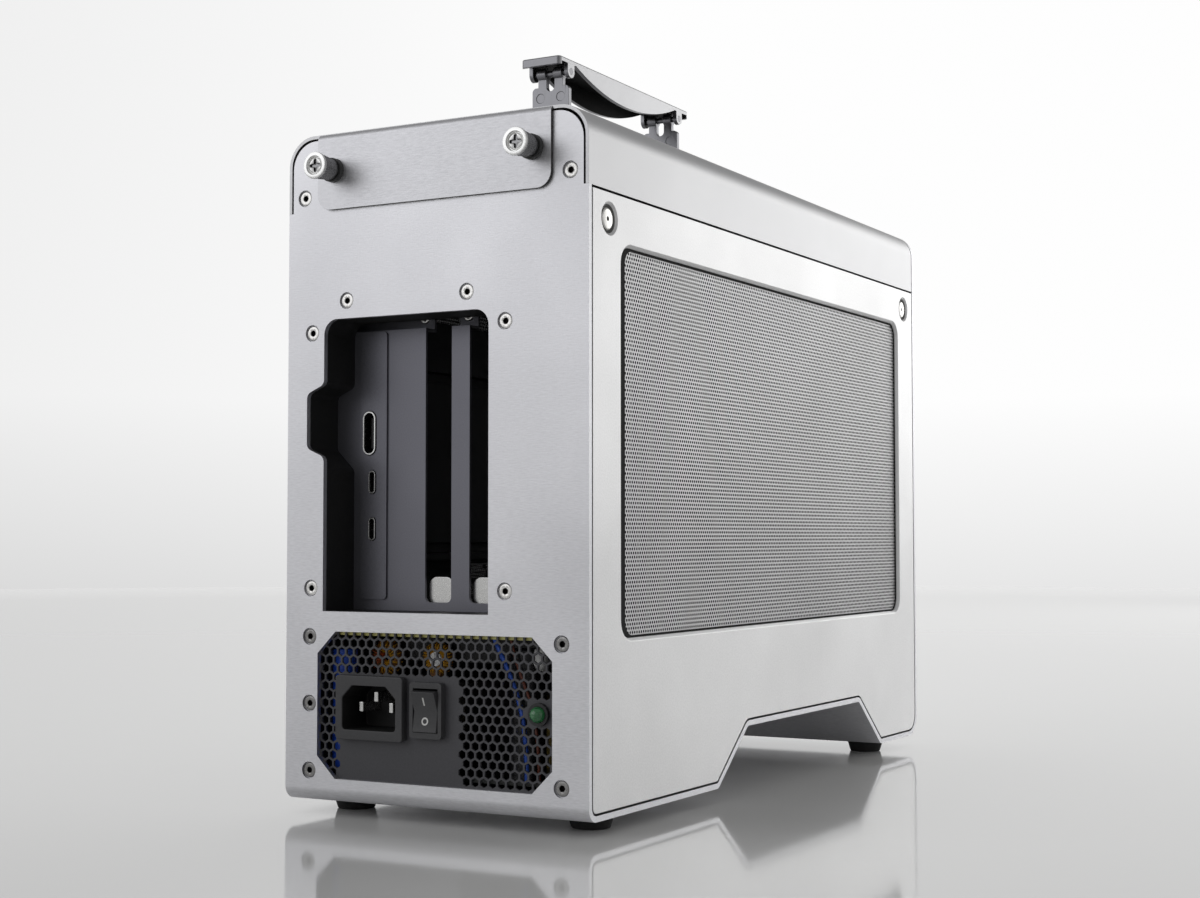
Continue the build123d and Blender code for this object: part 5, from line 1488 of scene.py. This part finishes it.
foot_light = fall_off("Z", 0, 0.4, 0.80, 0.99)
seen_light = maths(sweep_tree, "MULTIPLY", foot_light, fall_off("X", -3.0, -1.6, 0.82, 1))
right_light = fall_off("X", 1.0, 2.2, 1, 0.6)
side_light = maths(sweep_tree, "MULTIPLY", right_light, fall_off("Y", -2.4, -0.6, 0.48, 1))
sweep_ray = add_node(sweep_tree, "ShaderNodeLightPath").outputs["Is Camera Ray"]
mirrored_share = maths(sweep_tree, "MAXIMUM", side_light, sweep_ray)
sweep_light = maths(sweep_tree, "MULTIPLY", seen_light, mirrored_share)
sweep_tree.links.new(sweep_light, sweep_shader.inputs["Emission Strength"])
sweep_mesh.materials.append(sweep_white)
new_piece("backdrop", sweep_mesh)

# Light: white surroundings, a soft box at the left of the camera and one at the right rear.
# The overhead stays dimmer than the sides, so the cover's round edges shade off.
world = bpy.context.scene.world or bpy.data.worlds.new("World")
bpy.context.scene.world = world
world.use_nodes = True
sky = world.node_tree
sky_shader = sky.nodes["Background"]
sky_shader.inputs["Color"].default_value = (1, 1, 1, 1)
seen = add_node(sky, "ShaderNodeLightPath").outputs["Is Camera Ray"]
sky_strength = spread(sky, seen, 0, 1, low=0.34, high=0.97)
sky.links.new(sky_strength, sky_shader.inputs["Strength"])


def soft_box(name, place, target, wide, tall, power, colour):
    """A rectangular lamp that faces a point."""
    lamp = bpy.data.lights.new(name, "AREA")
    lamp.shape = "RECTANGLE"
    lamp.size = wide
    lamp.size_y = tall
    lamp.energy = power
    lamp.color = colour
    holder = bpy.data.objects.new(name, lamp)
    holder.location = place
    holder.rotation_euler = (Vector(target) - Vector(place)).to_track_quat("-Z", "Y").to_euler()
    bpy.context.scene.collection.objects.link(holder)


middle = (0, 0, 0.15)
soft_box("left_box", (-0.95, -1.35, 0.82), middle, 1.5, 1.2, 5.2, (0.97, 0.975, 1.0))
soft_box("right_box", (0.60, 1.95, 0.60), middle, 1.4, 1.0, 5.8, (1.0, 1.0, 0.985))

# Camera: at the photograph's place, a little left of the right rear edge and below mid height.
# Its lens gives the photograph's field of view without shift.
camera = bpy.data.cameras.new("camera")
camera.sensor_fit = "HORIZONTAL"
camera.sensor_width = 36.0
camera.lens = 55.74
camera.clip_start = 0.01
viewer = bpy.data.objects.new("camera", camera)
viewer.location = (0.39254, -0.74423, 0.10789)
viewer.rotation_euler = (math.pi / 2 + 0.0466066, 0.0006, 0.5057561)
bpy.context.scene.collection.objects.link(viewer)
bpy.context.scene.camera = viewer
bpy.context.scene.view_settings.view_transform = "Standard"
